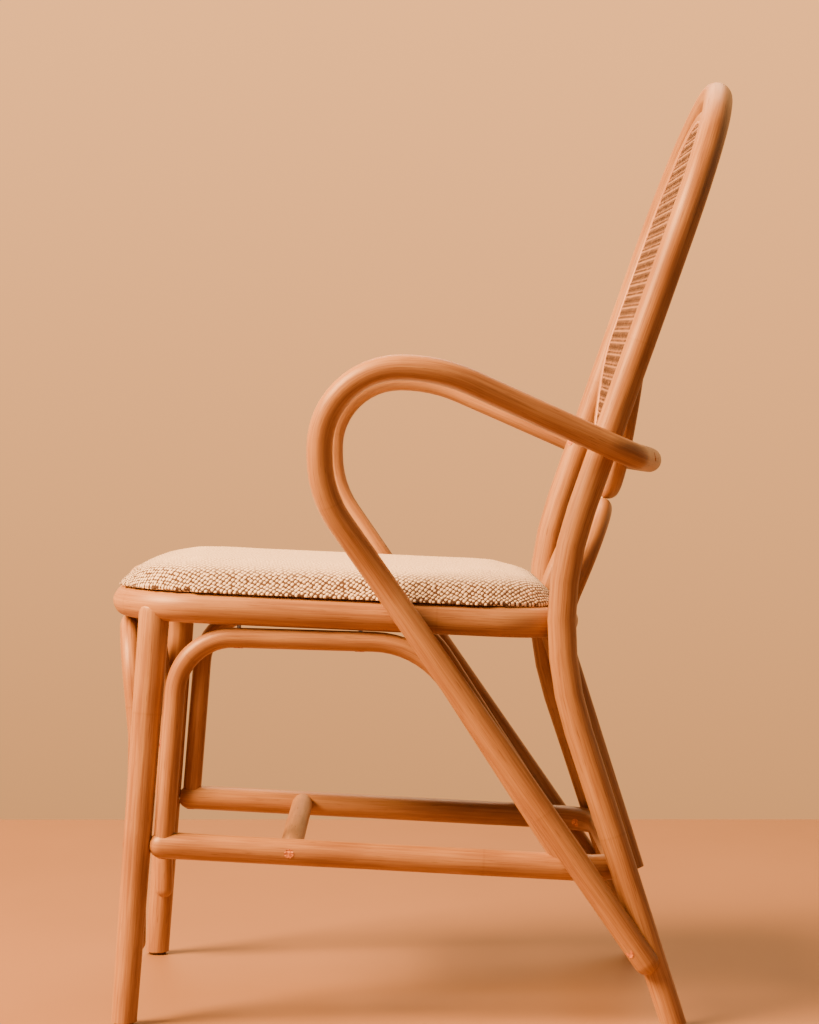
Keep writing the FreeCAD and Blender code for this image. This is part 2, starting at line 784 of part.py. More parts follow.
def screw_solid(length, grow=0.0):
    """Makes a countersunk screw that points down from its head's flat face at the origin."""
    head = radius("screw_head_diameter") + grow
    shank = radius("screw_diameter") + grow
    return turned([
        Vector(0, 0, 0),
        Vector(head, 0, 0),
        Vector(shank, 0, -size("screw_head_height") - grow),
        Vector(shank, 0, -length + size("screw_tip_length")),
        Vector(0, 0, -length - grow),
    ])


def plug_solid(grow=0.0, rise=0.0):
    """Makes the wooden plug that fills a screw's counterbore."""
    depth = size("plug_depth") - gap + grow
    return Part.makeCylinder(radius("plug_diameter") + grow, depth + rise, Vector(0, 0, gap - grow))


screws = {}
plugs = []
bores = {}


def fasten(group, outer, inner, start, end, outer_r, reach, plugged=True):
    """Drives one screw through the outer piece at start towards end in the inner piece."""
    drive = end - start
    seat = outer_r - size("plug_depth")
    room = seat + drive.Length + reach
    length = math.floor(room / size("screw_step")) * size("screw_step")
    drive.normalize()
    place = Placement(start - drive * seat, Rotation(DOWN, drive))
    screw = screw_solid(length)
    screw.Placement = place
    screws.setdefault(group, []).append(screw)
    hole = screw_solid(length, gap).fuse(plug_solid(gap, overrun))
    hole.Placement = place
    for piece in (outer, inner):
        bores.setdefault(piece, []).append(hole)
    if plugged:
        plug = plug_solid()
        plug.Placement = place
        plugs.append((plug, outer))


def flipped(point, side):
    """Gives a point of the left side, or its mirror image on the right."""
    return Vector(point.x * side, point.y, point.z)


def fasten_pair(group, outer, inner, start, end, outer_r, reach, plugged=True):
    """Drives the same screw on both sides of the chair; "{}" in a name stands for the side."""
    for name, side in SIDES.items():
        fasten(
            group, outer.format(name), inner.format(name),
            flipped(start, side), flipped(end, side), outer_r, reach, plugged,
        )


tip_wall = size("screw_tip_wall")

# Front legs: down through the seat ring, and back into the stretcher's ends
leg_top = at(front_leg_x, front_leg_back, front_leg_z)
leg_axis = at(*front_leg_at(0), 0) - leg_top
leg_axis.normalize()
ring_over_leg = nearest(ring_line, leg_top)
fasten_pair(
    "leg_screws", "seat_ring", "front_leg_{}", ring_over_leg,
    ring_over_leg + leg_axis * rail_r, rail_r, size("leg_screw_reach"), False,
)
leg_at_stretcher = at(*front_leg_at(stretcher_height(tip_back)), stretcher_height(tip_back))
leg_at_stretcher -= OUTWARD * size("leg_screw_inset")
fasten_pair(
    "leg_screws", "front_leg_{}", "stretcher_u", leg_at_stretcher,
    leg_at_stretcher + BACKWARD * front_leg_radius(tip_z), front_leg_radius(tip_z), size("leg_screw_reach"),
)

# Rear legs: out from the seat ring and from the stretcher's corners
ring_at_post = nearest(ring_line, at(post_x, post_back, rail_height(post_back)))
fasten_pair(
    "leg_screws", "seat_ring", "back_and_rear_legs", ring_at_post,
    nearest(back_line, ring_at_post), rail_r, waist_r - tip_wall,
)
bar_at_leg = nearest(stretcher_line, at(*rear_leg_at(bar_z), bar_z))
fasten_pair(
    "stretcher_screws", "stretcher_u", "back_and_rear_legs", bar_at_leg,
    nearest(back_line, bar_at_leg), stretcher_r, rear_leg_radius(bar_z) - tip_wall,
)
fasten_pair(
    "stretcher_screws", "stretcher_u", "cross_stretcher", cross_ends[0],
    cross_ends[0] - OUTWARD * stretcher_r, stretcher_r, size("leg_screw_reach"),
)

# Braces: out from the seat ring and the stretcher, and in through the foot into the rear leg
ring_at_brace = nearest(ring_line, brace_at(rail_cross_z))
fasten_pair(
    "arm_screws", "seat_ring", "arm_pole", ring_at_brace,
    nearest(arm_line, ring_at_brace), rail_r, arm_r - tip_wall,
)
low_at_brace = nearest(stretcher_line, brace_at(low_cross_z))
fasten_pair(
    "arm_screws", "stretcher_u", "arm_pole", low_at_brace,
    nearest(arm_line, low_at_brace), stretcher_r, arm_r - tip_wall,
)
foot_screw = brace_at(size("brace_foot_height") + arm_r)
fasten_pair(
    "arm_screws", "arm_pole", "back_and_rear_legs", foot_screw,
    nearest(back_line, foot_screw), arm_r, rear_leg_radius(size("brace_foot_height")) - tip_wall,
)

# Arms: out from the back pole, and in from the bar to the oval ring
post_at_arm = nearest(back_line, at(post_x, post_back_at_arm, arm_rear_z))
arm_at_post = nearest(arm_line, post_at_arm)
fasten_pair(
    "arm_screws", "back_and_rear_legs", "arm_pole", nearest(back_line, arm_at_post),
    arm_at_post, back_r, arm_r - tip_wall,
)
oval_at_bar = nearest(oval_line, at(touch_x, touch_back, arm_bar_z))
fasten_pair(
    "arm_screws", "arm_pole", "back_oval_ring", nearest(arm_line, oval_at_bar),
    oval_at_bar, arm_r, oval_r - tip_wall,
)

# Side arches: up into the seat ring
SIDE_ARCH_SCREW_SHARES = [0.244, 0.742]
for share in SIDE_ARCH_SCREW_SHARES:
    front = size("side_arch_front_back")
    rear = size("seat_depth") - size("side_arch_rear_setback")
    back = front + share * (rear - front)
    under = at(rail_x, back, rail_height(back) - rail_r - arch_r)
    fasten_pair(
        "arch_screws", "side_arch_{}", "seat_ring", nearest(side_arch_lines["left"], under),
        nearest(ring_line, under), arch_r, rail_r - tip_wall,
    )

# Side arches' feet: up through the stretcher
arch_knots = [vertex.Point for vertex in side_arch_lines["left"].OrderedVertexes]
for foot, knot in ((arch_knots[0], arch_knots[1]), (arch_knots[-1], arch_knots[-2])):
    above = knot - foot
    above.normalize()
    fasten_pair(
        "stretcher_screws", "stretcher_u", "side_arch_{}", foot,
        foot + above * stretcher_r, stretcher_r, size("leg_screw_reach"),
    )

# Front arch: up into the seat ring, and out into the front legs
under_front = at(front_knee.x / 2, -size("front_rail_bow") / 2, front_arch_z)
fasten_pair(
    "arch_screws", "front_arch", "seat_ring", nearest(front_arch_line, under_front),
    nearest(ring_line, under_front), front_arch_r, rail_r - tip_wall,
)
FRONT_ARCH_SCREW_SHARES = [0.2, 0.8]
for share in FRONT_ARCH_SCREW_SHARES:
    low = size("front_arch_end_height")
    height = low + share * (front_knee_z - low)
    leg = at(*front_leg_at(height), height)
    fasten_pair(
        "arch_screws", "front_arch", "front_leg_{}", nearest(front_arch_line, leg),
        leg, front_arch_r, front_leg_radius(height) - tip_wall,
    )

# Rear arch: out into the rear legs, and up into the oval ring's bottom
REAR_ARCH_SCREW_SHARES = [0.25, 0.7]
for share in REAR_ARCH_SCREW_SHARES:
    height = bar_z + share * (waist_z - bar_z)
    leg = at(*rear_leg_at(height), height)
    fasten_pair(
        "arch_screws", "rear_arch", "back_and_rear_legs", nearest(rear_arch_line, leg),
        nearest(back_line, leg), rear_arch_r, rear_leg_radius(height) - tip_wall,
    )
rear_top = at((rear_waist.x - size("rear_arch_top_radius")) / 2, rear_top_back, rear_top_z)
fasten_pair(
    "arch_screws", "rear_arch", "back_oval_ring", rear_top,
    nearest(oval_line, rear_top), rear_arch_r, oval_r - tip_wall,
)

# Oval ring: out into the back pole
OVAL_SCREW_SHARES = [0.3, 0.85]
for share in OVAL_SCREW_SHARES:
    start = on_back(oval_x, (oval_knee_z - waist_z) / math.cos(lean))
    end = on_back(oval_x, shoulder_corner_rise - size("shoulder_radius"))
    place = start + (end - start) * share
    fasten_pair(
        "back_screws", "back_oval_ring", "back_and_rear_legs", nearest(oval_line, place),
        nearest(back_line, place), oval_r, back_r - tip_wall,
    )
crown_corner = on_back(0, crown_corner_rise)
fasten(
    "back_screws", "back_oval_ring", "back_and_rear_legs", nearest(oval_line, crown_corner),
    nearest(back_line, crown_corner), oval_r, back_r - tip_wall,
)


# The padded seat, made level and then laid on the sloping ring

half_depth = size("seat_depth") / 2 / math.cos(math.radians(size("seat_slope_angle")))
seat_place = Placement(
    at(0, size("seat_depth") / 2, rail_height(size("seat_depth") / 2)),
    Rotation(OUTWARD, -size("seat_slope_angle")),
)
flange_z = rail_r + gap
board_z = flange_z + size("cover_thickness") + gap
board_top = board_z + size("board_thickness")


SMALLEST_CORNER_SHARE = 0.33


def seat_bends(inset, height, ease=0.0, draw=0.0):
    """Gives the ring's outline at a height above it, inset, eased back in front and drawn in behind."""
    x = rail_x - inset
    rear = half_depth - inset - draw
    front = half_depth - inset - ease
    corners = [
        Vector(x, -front, height),
        Vector(x, rear, height),
        Vector(-x, rear, height),
        Vector(-x, -front, height),
        Vector(0, -front - size("front_rail_bow"), height),
    ]
    radii = [max(r - inset, r * SMALLEST_CORNER_SHARE) for r in ring_radii]
    return bends(corners, radii, closed=True)


def seat_outline(inset, height, ease=0.0):
    """Makes the padded seat's outline as a wire."""
    pieces = seat_bends(inset, height, ease, size("seat_rear_draw"))
    return Part.Wire([piece.toShape() for piece in pieces])


def seat_plate(name, inset, bottom, thickness, draw):
    """Pads a flat plate in the seat's outline, with its thickness from the sheet."""
    body = doc.addObject("PartDesign::Body", f"{name}_body")
    sketch = body.newObject("Sketcher::SketchObject", f"{name}_outline")
    plane = [f for f in body.Origin.OriginFeatures if f.Role == "XY_Plane"][0]
    sketch.AttachmentSupport = [(plane, "")]
    sketch.MapMode = "FlatFace"
    pieces = seat_bends(inset, 0, draw=draw)
    for piece in pieces:
        sketch.addGeometry(piece)
    for i in range(len(pieces)):
        sketch.addConstraint(Sketcher.Constraint("Coincident", i, 2, (i + 1) % len(pieces), 1))
    pad = body.newObject("PartDesign::Pad", f"{name}_pad")
    pad.Profile = sketch
    pad.setExpression("Length", f"sizes.{thickness}")
    body.Placement = seat_place.multiply(Placement(Vector(0, 0, bottom), Rotation()))
    return body


# Height shares of the foam, how far it stands out of the board there, and how far its front eases back
FOAM_HEIGHT_SHARES = [0.0, 0.1, 0.28, 0.45, 0.62, 0.76, 0.87, 0.94, 0.98, 1.0]
FOAM_OVERHANG_SHARES = [0.64, 0.94, 1.0, 0.83, 0.41, -0.19, -1.2, -2.56, -4.46, -8.0]
FOAM_EASE_SHARES = [0.0, 0.02, 0.13, 0.26, 0.34, 0.43, 0.52, 0.75, 0.94, 1.0]


def crowned(name, sections):
    """Lofts a crowned form through outlines at rising heights."""
    loft = doc.addObject("Part::Loft", name)
    loft.Sections = [
        shaped(f"{name}_section_{i}", seat_outline(*section)) for i, section in enumerate(sections)
    ]
    loft.Solid = True
    loft.Ruled = True
    loft.Placement = seat_place
    return loft


def foam_sections(grow):
    """Gives the foam's outlines, grown outwards and upwards."""
    sections = []
    for share, stand, ease in zip(FOAM_HEIGHT_SHARES, FOAM_OVERHANG_SHARES, FOAM_EASE_SHARES):
        inset = size("board_inset") - grow - stand * size("foam_overhang")
        height = board_z + share * (size("foam_height") + grow)
        sections.append((inset, height, ease * size("foam_front_ease")))
    return sections


def lowered(sections, height):
    """Gives the same outlines with the first one lowered."""
    inset, _, ease = sections[0]
    return [(inset, height, ease)] + sections[1:]


foam_form = crowned("foam_form", foam_sections(0))
foam_hollow = crowned("foam_hollow", lowered(foam_sections(gap), board_z - gap))
wall = gap + size("cover_thickness")
cover_form = crowned("cover_form", lowered(foam_sections(wall), flange_z))
board_hollow = shaped("board_hollow", Part.Face(seat_outline(size("board_inset") - gap, flange_z)).extrude(
    UP * (board_top + gap - flange_z)))
board_hollow.Placement = seat_place
mouth = shaped("cover_mouth", Part.Face(seat_outline(size("cover_flange"), flange_z - overrun)).extrude(
    UP * (overrun + size("board_thickness"))))
mouth.Placement = seat_place

board = seat_plate("board", size("board_inset"), board_z, "board_thickness", size("seat_rear_draw"))
dust_sheet = seat_plate(
    "dust_sheet", size("dust_cover_margin"),
    flange_z - gap - size("dust_cover_thickness"), "dust_cover_thickness", 0,
)
doc.recompute()

# Seat screws: up through the ring and inwards into the board
board_rise = seat_place.Rotation.multVec(UP) * board_z
inward_run = size("seat_screw_inset")
SEAT_SCREW_SHARES = [0.24, 0.74]
for share in SEAT_SCREW_SHARES:
    place = at(rail_x, share * size("seat_depth"), rail_height(share * size("seat_depth")))
    fasten_pair(
        "seat_screws", "seat_ring", "seat_board", place, place + board_rise - OUTWARD * inward_run,
        rail_r, size("board_thickness") - tip_wall, False,
    )
place = nearest(ring_line, at(0, -size("front_rail_bow"), rail_height(0)))
fasten(
    "seat_screws", "seat_ring", "seat_board", place, place + board_rise + BACKWARD * inward_run,
    rail_r, size("board_thickness") - tip_wall, False,
)
for screw in screws["seat_screws"]:
    hole = Part.makeCylinder(radius("screw_diameter") + gap, 2 * overrun, Vector(), DOWN)
    hole.Placement = screw.Placement
    bores.setdefault("seat_cover", []).append(hole)


# Glides: a disc nailed under each foot

def feet():
    """Gives the middle of each foot, at the top of its glide."""
    top = size("glide_height")
    front_x, front_back = front_leg_at(top)
    rear_x, rear_back = rear_leg_at(top)
    return [
        ("front_leg_left", at(front_x, front_back, top)),
        ("front_leg_right", at(-front_x, front_back, top)),
        ("back_and_rear_legs", at(rear_x, rear_back, top)),
        ("back_and_rear_legs", at(-rear_x, rear_back, top)),
    ]


def glide_solid():
    """Makes one glide with its nail hole and eased lower edge."""
    edge = size("glide_edge")
    outer = radius("glide_diameter")
    hole = radius("nail_diameter") + gap
    low = gap - size("glide_height")
    return turned([
        Vector(hole, 0, 0),
        Vector(outer, 0, 0),
        Vector(outer, 0, low - gap + edge),
        Vector(outer - edge, 0, low - gap),
        Vector(hole + edge, 0, low - gap),
        Vector(hole + edge, 0, low - gap + 2 * edge),
        Vector(hole, 0, low - gap + 2 * edge),
    ])


def nail_solid(grow=0.0):
    """Makes one glide nail, its head inside the glide's recess and its point up."""
    shank = radius("nail_diameter") + grow
    head = radius("nail_diameter") + size("glide_edge") - gap
    low = -size("glide_height") + size("glide_edge")
    return turned([
        Vector(0, 0, low - gap / 2),
        Vector(head, 0, low - gap / 2),
        Vector(head, 0, low + size("glide_edge") - gap),
        Vector(shank, 0, low + size("glide_edge") - gap),
        Vector(shank, 0, size("nail_length") - size("screw_tip_length")),
        Vector(0, 0, size("nail_length") + grow),
    ])


glides = []
nails = []
for owner, place in feet():
    glide = glide_solid()
    glide.Placement = Placement(place, Rotation())
    glides.append(glide)
    nail = nail_solid()
    nail.Placement = Placement(place, Rotation())
    nails.append(nail)
    hole = nail_solid(gap)
    hole.Placement = Placement(place, Rotation())
    bores.setdefault(owner, []).append(hole)


# The cane panel: a thin sheet bent at the knee, inside the oval ring

def cane_sheet():
    """Makes the bent sheet between the oval ring's crown and its bottom bar."""
    front = size("cane_forward") + size("cane_thickness")
    profiles = []
    for forward in (front, size("cane_forward")):
        _, _, knee, bottom = oval_corners(0, forward)
        top = on_back(0, (crown_z - waist_z) / math.cos(lean) - oval_inset, forward)
        points = [Vector(0, p.y, p.z) for p in (top, knee, bottom)]
        profiles.append(course(points, [0, size("oval_knee_radius") + forward, 0]))
    first, second = profiles
    ends = [
        Part.makeLine(first.OrderedVertexes[i].Point, second.OrderedVertexes[i].Point) for i in (0, -1)
    ]
    outline = Part.Wire(Part.__sortEdges__(first.Edges + second.Edges + ends))
    sheet_solid = Part.Face(outline).extrude(OUTWARD * 2 * oval_x)
    sheet_solid.translate(-OUTWARD * oval_x)
    return sheet_solid


def cane_openings():
    """Makes a plain grid of square openings that stand clear of the cane's edge."""
    _, _, knee, bottom = oval_corners(0, size("cane_forward"))
    top = on_back(0, (crown_z - waist_z) / math.cos(lean) - oval_inset, size("cane_forward"))
    rise = course([Vector(0, p.y, p.z) for p in (bottom, knee, top)], [0, size("oval_knee_radius"), 0])
    pitch = size("cane_opening_pitch")
    width = size("cane_opening_width")
    rows = math.floor(rise.Length / pitch)
    columns = math.floor(oval_x / pitch)
    knots = rise.discretize(Number=2 * rows + 1)
    holes = []
    for row in range(rows):
        middle_point = knots[2 * row + 1]
        along = knots[2 * row + 2] - knots[2 * row]
        for column in range(-columns, columns + 1):
            place = Placement(middle_point + OUTWARD * column * pitch, Rotation(UP, along))
            reach = (width + size("cane_margin")) / 2
            corners = [place.multVec(Vector(x, 0, z)) for x in (-reach, reach) for z in (-reach, reach)]
            if min(oval_line.distToShape(Part.Vertex(corner))[0] for corner in corners) < size("cane_margin"):
                continue
            hole = Part.makeBox(width, overrun, width, Vector(-width / 2, -overrun / 2, -width / 2))
            hole.Placement = place
            holes.append(hole)
    return Part.Compound(holes)


doc.recompute()
inside = cane_sheet().cut(oval_cutter.Shape).cut(spline_cutter.Shape)
panel = shaped("cane_inside", max(inside.Solids, key=lambda solid: solid.Volume))
cane = cut(panel, [shaped("cane_grid", cane_openings())])


# Every sub-part, cut where others seat in it, under its own name

def bored(base, node):
    """Cuts a piece's screw and nail holes."""
    if node not in bores:
        return base
    holes = shaped(f"bores_{node}", Part.Compound(bores[node]))
    return cut(base, [holes])


rear_leg_cutters = []
for name, side in SIDES.items():
    ends = [at(side * rear_leg_at(height)[0], rear_leg_at(height)[1], height) for height in (0, low_cross_z)]
    widths = [rear_leg_radius(height) + gap for height in (0, low_cross_z)]
    rear_leg_cutters.append(shaped(f"rear_leg_cutter_{name}", tapered_run(*ends, *widths)))

nodes = {
    "seat_ring": bored(ring_pole, "seat_ring"),
    "back_and_rear_legs": bored(cut(back_pole, [floor_block]), "back_and_rear_legs"),
    "arm_pole": bored(cut(arm_bent, rear_leg_cutters), "arm_pole"),
    "back_oval_ring": bored(cut(oval_pole, [spline_cutter]), "back_oval_ring"),
    "cane_panel": cane,
    "cane_spline": spline,
    "stretcher_u": None,
    "cross_stretcher": bored(cut(cross_pole, [stretcher_cutter]), "cross_stretcher"),
    "front_arch": bored(front_arch_bent, "front_arch"),
    "rear_arch": bored(cut(rear_arch_bent, [stretcher_cutter, ring_cutter]), "rear_arch"),
    "seat_board": bored(board, "seat_board"),
    "seat_foam": cut(foam_form, [board_hollow]),
    "seat_cover": bored(cut(cover_form, [foam_hollow, mouth]), "seat_cover"),
    "dust_cover": dust_sheet,
}
leg_cutters = []
for name, side in SIDES.items():
    nodes[f"front_leg_{name}"] = bored(cut(turned_legs[name], [ring_cutter, floor_block]), f"front_leg_{name}")
    nodes[f"side_arch_{name}"] = bored(cut(side_arches_bent[name], [stretcher_cutter]), f"side_arch_{name}")
    top = at(side * front_leg_x, front_leg_back, front_leg_z)
    foot = at(side * front_leg_at(0)[0], front_leg_at(0)[1], 0)
    leg_cutters.append(shaped(
        f"leg_cutter_{name}",
        tapered_run(foot, top, radius("front_foot_diameter") + gap, radius("front_leg_diameter") + gap),
    ))
nodes["stretcher_u"] = bored(cut(stretcher_bent, leg_cutters), "stretcher_u")
for group, solids in screws.items():
    nodes[group] = shaped(f"{group}_group", Part.Compound(solids))
doc.recompute()

# Each plug is trimmed flush with the pole that it sits in
plug_owners = {
    "seat_ring": ring_pole,
    "back_and_rear_legs": back_pole,
    "arm_pole": arm_bent,
    "stretcher_u": stretcher_bent,
    "back_oval_ring": oval_pole,
    "front_arch": front_arch_bent,
    "rear_arch": rear_arch_bent,
}
for name in SIDES:
    plug_owners[f"side_arch_{name}"] = side_arches_bent[name]
    plug_owners[f"front_leg_{name}"] = turned_legs[name]
nodes["screw_plugs"] = shaped(
    "plug_group", Part.Compound([plug.common(plug_owners[owner].Shape) for plug, owner in plugs])
)
nodes["foot_glides"] = shaped("glide_group", Part.Compound(glides))
nodes["glide_nails"] = shaped("nail_group", Part.Compound(nails))
doc.recompute()


for obj in doc.Objects:
    if "Invalid" in obj.State or "Error" in obj.State:
        raise RuntimeError(f"{obj.Name} failed: {obj.State}")
for node, obj in nodes.items():
    if obj.Shape.isNull() or not obj.Shape.isValid() or not obj.Shape.Solids:
        raise RuntimeError(f"{node} has no valid solid")

os.makedirs("parts", exist_ok=True)
for node, obj in nodes.items():
    obj.Label = node
    obj.Shape.exportStep(f"parts/{node}.step")
    print(node, len(obj.Shape.Solids), round(obj.Shape.Volume))
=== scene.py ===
import math

import bmesh
import bpy
import numpy as np
from bpy.props import FloatProperty, FloatVectorProperty, IntProperty, PointerProperty
from mathutils import Matrix, Quaternion, Vector


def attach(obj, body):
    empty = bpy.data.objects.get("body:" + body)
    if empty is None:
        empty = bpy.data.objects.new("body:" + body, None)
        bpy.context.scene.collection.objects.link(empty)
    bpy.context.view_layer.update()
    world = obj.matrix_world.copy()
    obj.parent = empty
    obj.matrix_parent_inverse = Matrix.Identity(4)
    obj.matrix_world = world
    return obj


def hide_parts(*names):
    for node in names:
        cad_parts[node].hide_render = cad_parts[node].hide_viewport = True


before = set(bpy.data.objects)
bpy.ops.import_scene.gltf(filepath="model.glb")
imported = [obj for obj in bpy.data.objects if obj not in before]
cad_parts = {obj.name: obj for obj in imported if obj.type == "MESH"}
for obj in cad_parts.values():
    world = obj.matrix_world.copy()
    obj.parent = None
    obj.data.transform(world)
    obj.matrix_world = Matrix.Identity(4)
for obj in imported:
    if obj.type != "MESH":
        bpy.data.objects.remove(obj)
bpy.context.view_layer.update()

bl_info = {
    "name": "Rattan armchair",
    "version": (1, 0, 0),
    "blender": (4, 5, 0),
    "location": "View3D > Sidebar > Rattan armchair",
    "description": "Builds a bent rattan armchair with a caned back and a boucle seat",
    "category": "Add Mesh",
}


def tone(red, green, blue):
    """Gives a screen colour from 0 to 255 as the linear colour that a shader takes."""
    shares = (red / 255, green / 255, blue / 255)
    return tuple(c / 12.92 if c <= 0.04045 else ((c + 0.055) / 1.055) ** 2.4 for c in shares)


# Sizes and colours that a user would change


def number(name, description, default, **kind):
    """Makes one number of a panel."""
    return FloatProperty(name=name, description=description, default=default, **kind)


def length(name, description, metres):
    """Makes one length of a panel."""
    return number(name, description, metres, unit="LENGTH", precision=4)


def angle(name, description, degrees):
    """Makes one angle of a panel."""
    return number(name, description, math.radians(degrees), subtype="ANGLE")


def colour(name, description, default):
    """Makes one colour of a panel."""
    return FloatVectorProperty(name=name, description=description, default=default, subtype="COLOR", size=3)


class RattanSettings(bpy.types.PropertyGroup):
    sides: IntProperty(name="Sides", description="Faces round a pole, as a bevel resolution", default=13)
    arc_step: angle("Arc step", "Largest turn between two points of a bend", 24)
    run_step: length("Run step", "Largest distance between two points of a straight run", 0.07)
    joint_pitch: length("Joint pitch", "Mean distance between two growth rings", 0.40)
    joint_width: length("Joint width", "Half of a growth ring's width", 0.0040)
    joint_swell: number("Joint swell", "Share by which the radius grows at a ring", 0.006)
    waviness: number("Waviness", "Share by which the radius changes along a pole", 0.008)
    light: colour("Light fibre", "Light fibres of the stained rattan", tone(188, 146, 98))
    middle: colour("Middle fibre", "Main colour of the stained rattan", tone(154, 110, 70))
    dark: colour("Dark fibre", "Dark fibres and specks of the stained rattan", tone(84, 50, 32))


class CaneSettings(bpy.types.PropertyGroup):
    pitch: length("Pitch", "Distance between two pairs of strands", 0.0127)
    pair: length("Pair", "Distance between the middles of a pair's strands", 0.0036)
    width: length("Width", "Width of an upright or level strand", 0.0024)
    slant_width: length("Slant width", "Width of a slanting strand", 0.0021)
    thickness: length("Thickness", "Thickness of a strand", 0.0006)
    tilt: angle("Tilt", "Turn of the webbing in its frame", 2.2)
    columns: IntProperty(name="Columns", description="Pairs of upright strands", default=30)
    rows: IntProperty(name="Rows", description="Pairs of level strands", default=34)
    # The light and dark cane colours are the strands' own tones and also painted light and painted shade:
    # level strands are painted nearer the light one, upright and slanting strands nearer the dark one.
    light: colour("Light cane", "Light side of the cane", tone(206, 160, 126))
    dark: colour("Dark cane", "Stained side of the cane", tone(60, 34, 26))
    spline: colour("Spline", "Reed that holds the cane", tone(150, 104, 70))


class SeatSettings(bpy.types.PropertyGroup):
    nub: length("Nub", "Distance between two nubs of a row", 0.0047)
    row: length("Row", "Distance between two rows of nubs", 0.0038)
    row_turn: angle("Row turn", "Turn of the rows from the chair's depth", 57.0)
    nub_height: length("Nub height", "Height of a nub over the gaps round it", 0.0011)
    voxel: length("Voxel", "Grid on which the cushion is inflated", 0.005)
    pressure: number("Pressure", "Air pressure that fills the cushion", 3.0)
    swell: length("Swell", "Most that a point of the cushion may move", 0.0015)
    light: colour("Light yarn", "Crowns of the nubs", tone(252, 240, 222))
    # The dark yarn colour is mostly painted shade in the gaps between the nubs; the yarn's random mottle
    # leans a little towards it too.
    dark: colour("Dark yarn", "Gaps between the nubs", tone(80, 58, 46))


class StageSettings(bpy.types.PropertyGroup):
    reach: length("Reach", "Distance from the chair's middle to the floor's edge", 1.33)
    floor: colour("Floor", "Pale floor", tone(152, 116, 82))
    wall: colour("Surround", "Pale surround", tone(255, 175, 105))
    key: number("Key light", "Power of the main softbox", 880.0, unit="POWER")
    fill: number("Fill light", "Power of the near softbox", 3.0, unit="POWER")
    rear: number("Rear light", "Power of the softbox behind", 45.0, unit="POWER")
    surround: number("Surround light", "Strength of the surround", 1.55)
    shade: colour("Shade", "Surround on the dim sides", tone(104, 86, 72))


# Poles: corner points and bend radii, in metres, then the radius of the pole


def both_sides(corners):
    """Adds the same corners of the chair's other side, in reverse order."""
    last = corners[-1][0][0] == 0
    other = [((-x, y, z), bend) for (x, y, z), bend in reversed(corners[:-1] if last else corners)]
    return corners + other


def one_side(corners, side):
    """Gives the corners on the left (1) or on the right (-1)."""
    return [((side * x, y, z), bend) for (x, y, z), bend in corners]


SEAT_SIDE = [
    ((0.195, 0.13593, 0.38342), 0.075),
    ((0.195, -0.28707, 0.403), 0.08),
    ((0.0, -0.29607, 0.40342), 0.9),
]
BACK_POLE = both_sides([
    ((0.20214, 0.24783, -0.03), 0.0),
    ((0.19703, 0.1118, 0.38868), 0.33),
    ((0.19703, 0.27126, 0.83899), 0.15),
    ((0.0, 0.30623, 0.93774), 0.24),
])
ARM_POLE = both_sides([
    ((0.2128, 0.2101, 0.063), 0.0),
    ((0.22333, -0.04403, 0.43), 0.26),
    ((0.248, -0.09917, 0.50963), 0.112),
    ((0.265, -0.09917, 0.6273), 0.0755),
    ((0.265, 0.01163, 0.6273), 0.148),
    ((0.22625, 0.19637, 0.545), 0.045),
    ((0.0, 0.23873, 0.538), 0.6),
])
OVAL_SIDE = [
    ((0.17283, 0.18426, 0.511), 0.11),
    ((0.17283, 0.20469, 0.651), 0.26),
    ((0.17283, 0.2664, 0.82528), 0.1258),
    ((0.0, 0.29708, 0.91191), 0.2158),
]
SPLINE_SIDE = [
    ((0.16723, 0.17795, 0.51758), 0.1044),
    ((0.16723, 0.19766, 0.65274), 0.260),
    ((0.16723, 0.25849, 0.82451), 0.1202),
    ((0.0, 0.28817, 0.90833), 0.2102),
]
STRETCHER = both_sides([((0.18982, -0.25237, 0.17182), 0.0), ((0.19073, 0.19004, 0.14786), 0.048)])
SIDE_ARCH = [
    ((0.18982, -0.25089, 0.17174), 0.0),
    ((0.195, -0.23507, 0.37287), 0.056),
    ((0.195, -0.00207, 0.36588), 0.09),
    ((0.19062, 0.13657, 0.15076), 0.0),
]
FRONT_ARCH = both_sides([
    ((0.16959, -0.27929, 0.075), 0.0),
    ((0.16054, -0.2776, 0.275), 0.12),
    ((0.16054, -0.28707, 0.37855), 0.062),
    ((0.0, -0.29607, 0.37855), 0.9),
])
REAR_ARCH = both_sides([
    ((0.18031, 0.20154, 0.14786), 0.0),
    ((0.17363, 0.1278, 0.38268), 0.09),
    ((0.17363, 0.17543, 0.49367), 0.078),
])
CROSS_STRETCHER = [((0.19007, -0.13007, 0.1652), 0.0), ((-0.19007, -0.13007, 0.1652), 0.0)]
FRONT_LEG = [((0.19541, -0.2897, -0.012), 0.0), ((0.17932, -0.25896, 0.4064), 0.0)]

FLOOR_GAP = 0.003
RAIL_R = 0.01475
BACK_R = 0.01425
WAIST_R = 0.0137
FOOT_R = 0.01225
LEG_R = 0.015
ARM_R = 0.01225
THIN_R = 0.00975
ARCH_R = 0.0095
STRETCHER_R = 0.01275
CROSS_R = 0.011
SPLINE_R = 0.0018
LEG_ROUNDING = 0.011
LEG_SEED = 40
REED_SEED = 77
PLUG_RISE = 0.00035

# Poles: the last handles of a curve, two waves of the radius in radians a metre, and a rounded end in degrees
END_HANDLE = 0.01
LONG_WAVE = 23
SHORT_WAVE = 51
SHORT_SHARE = 0.6
DOME_STEPS = (20, 40, 58, 73, 84)

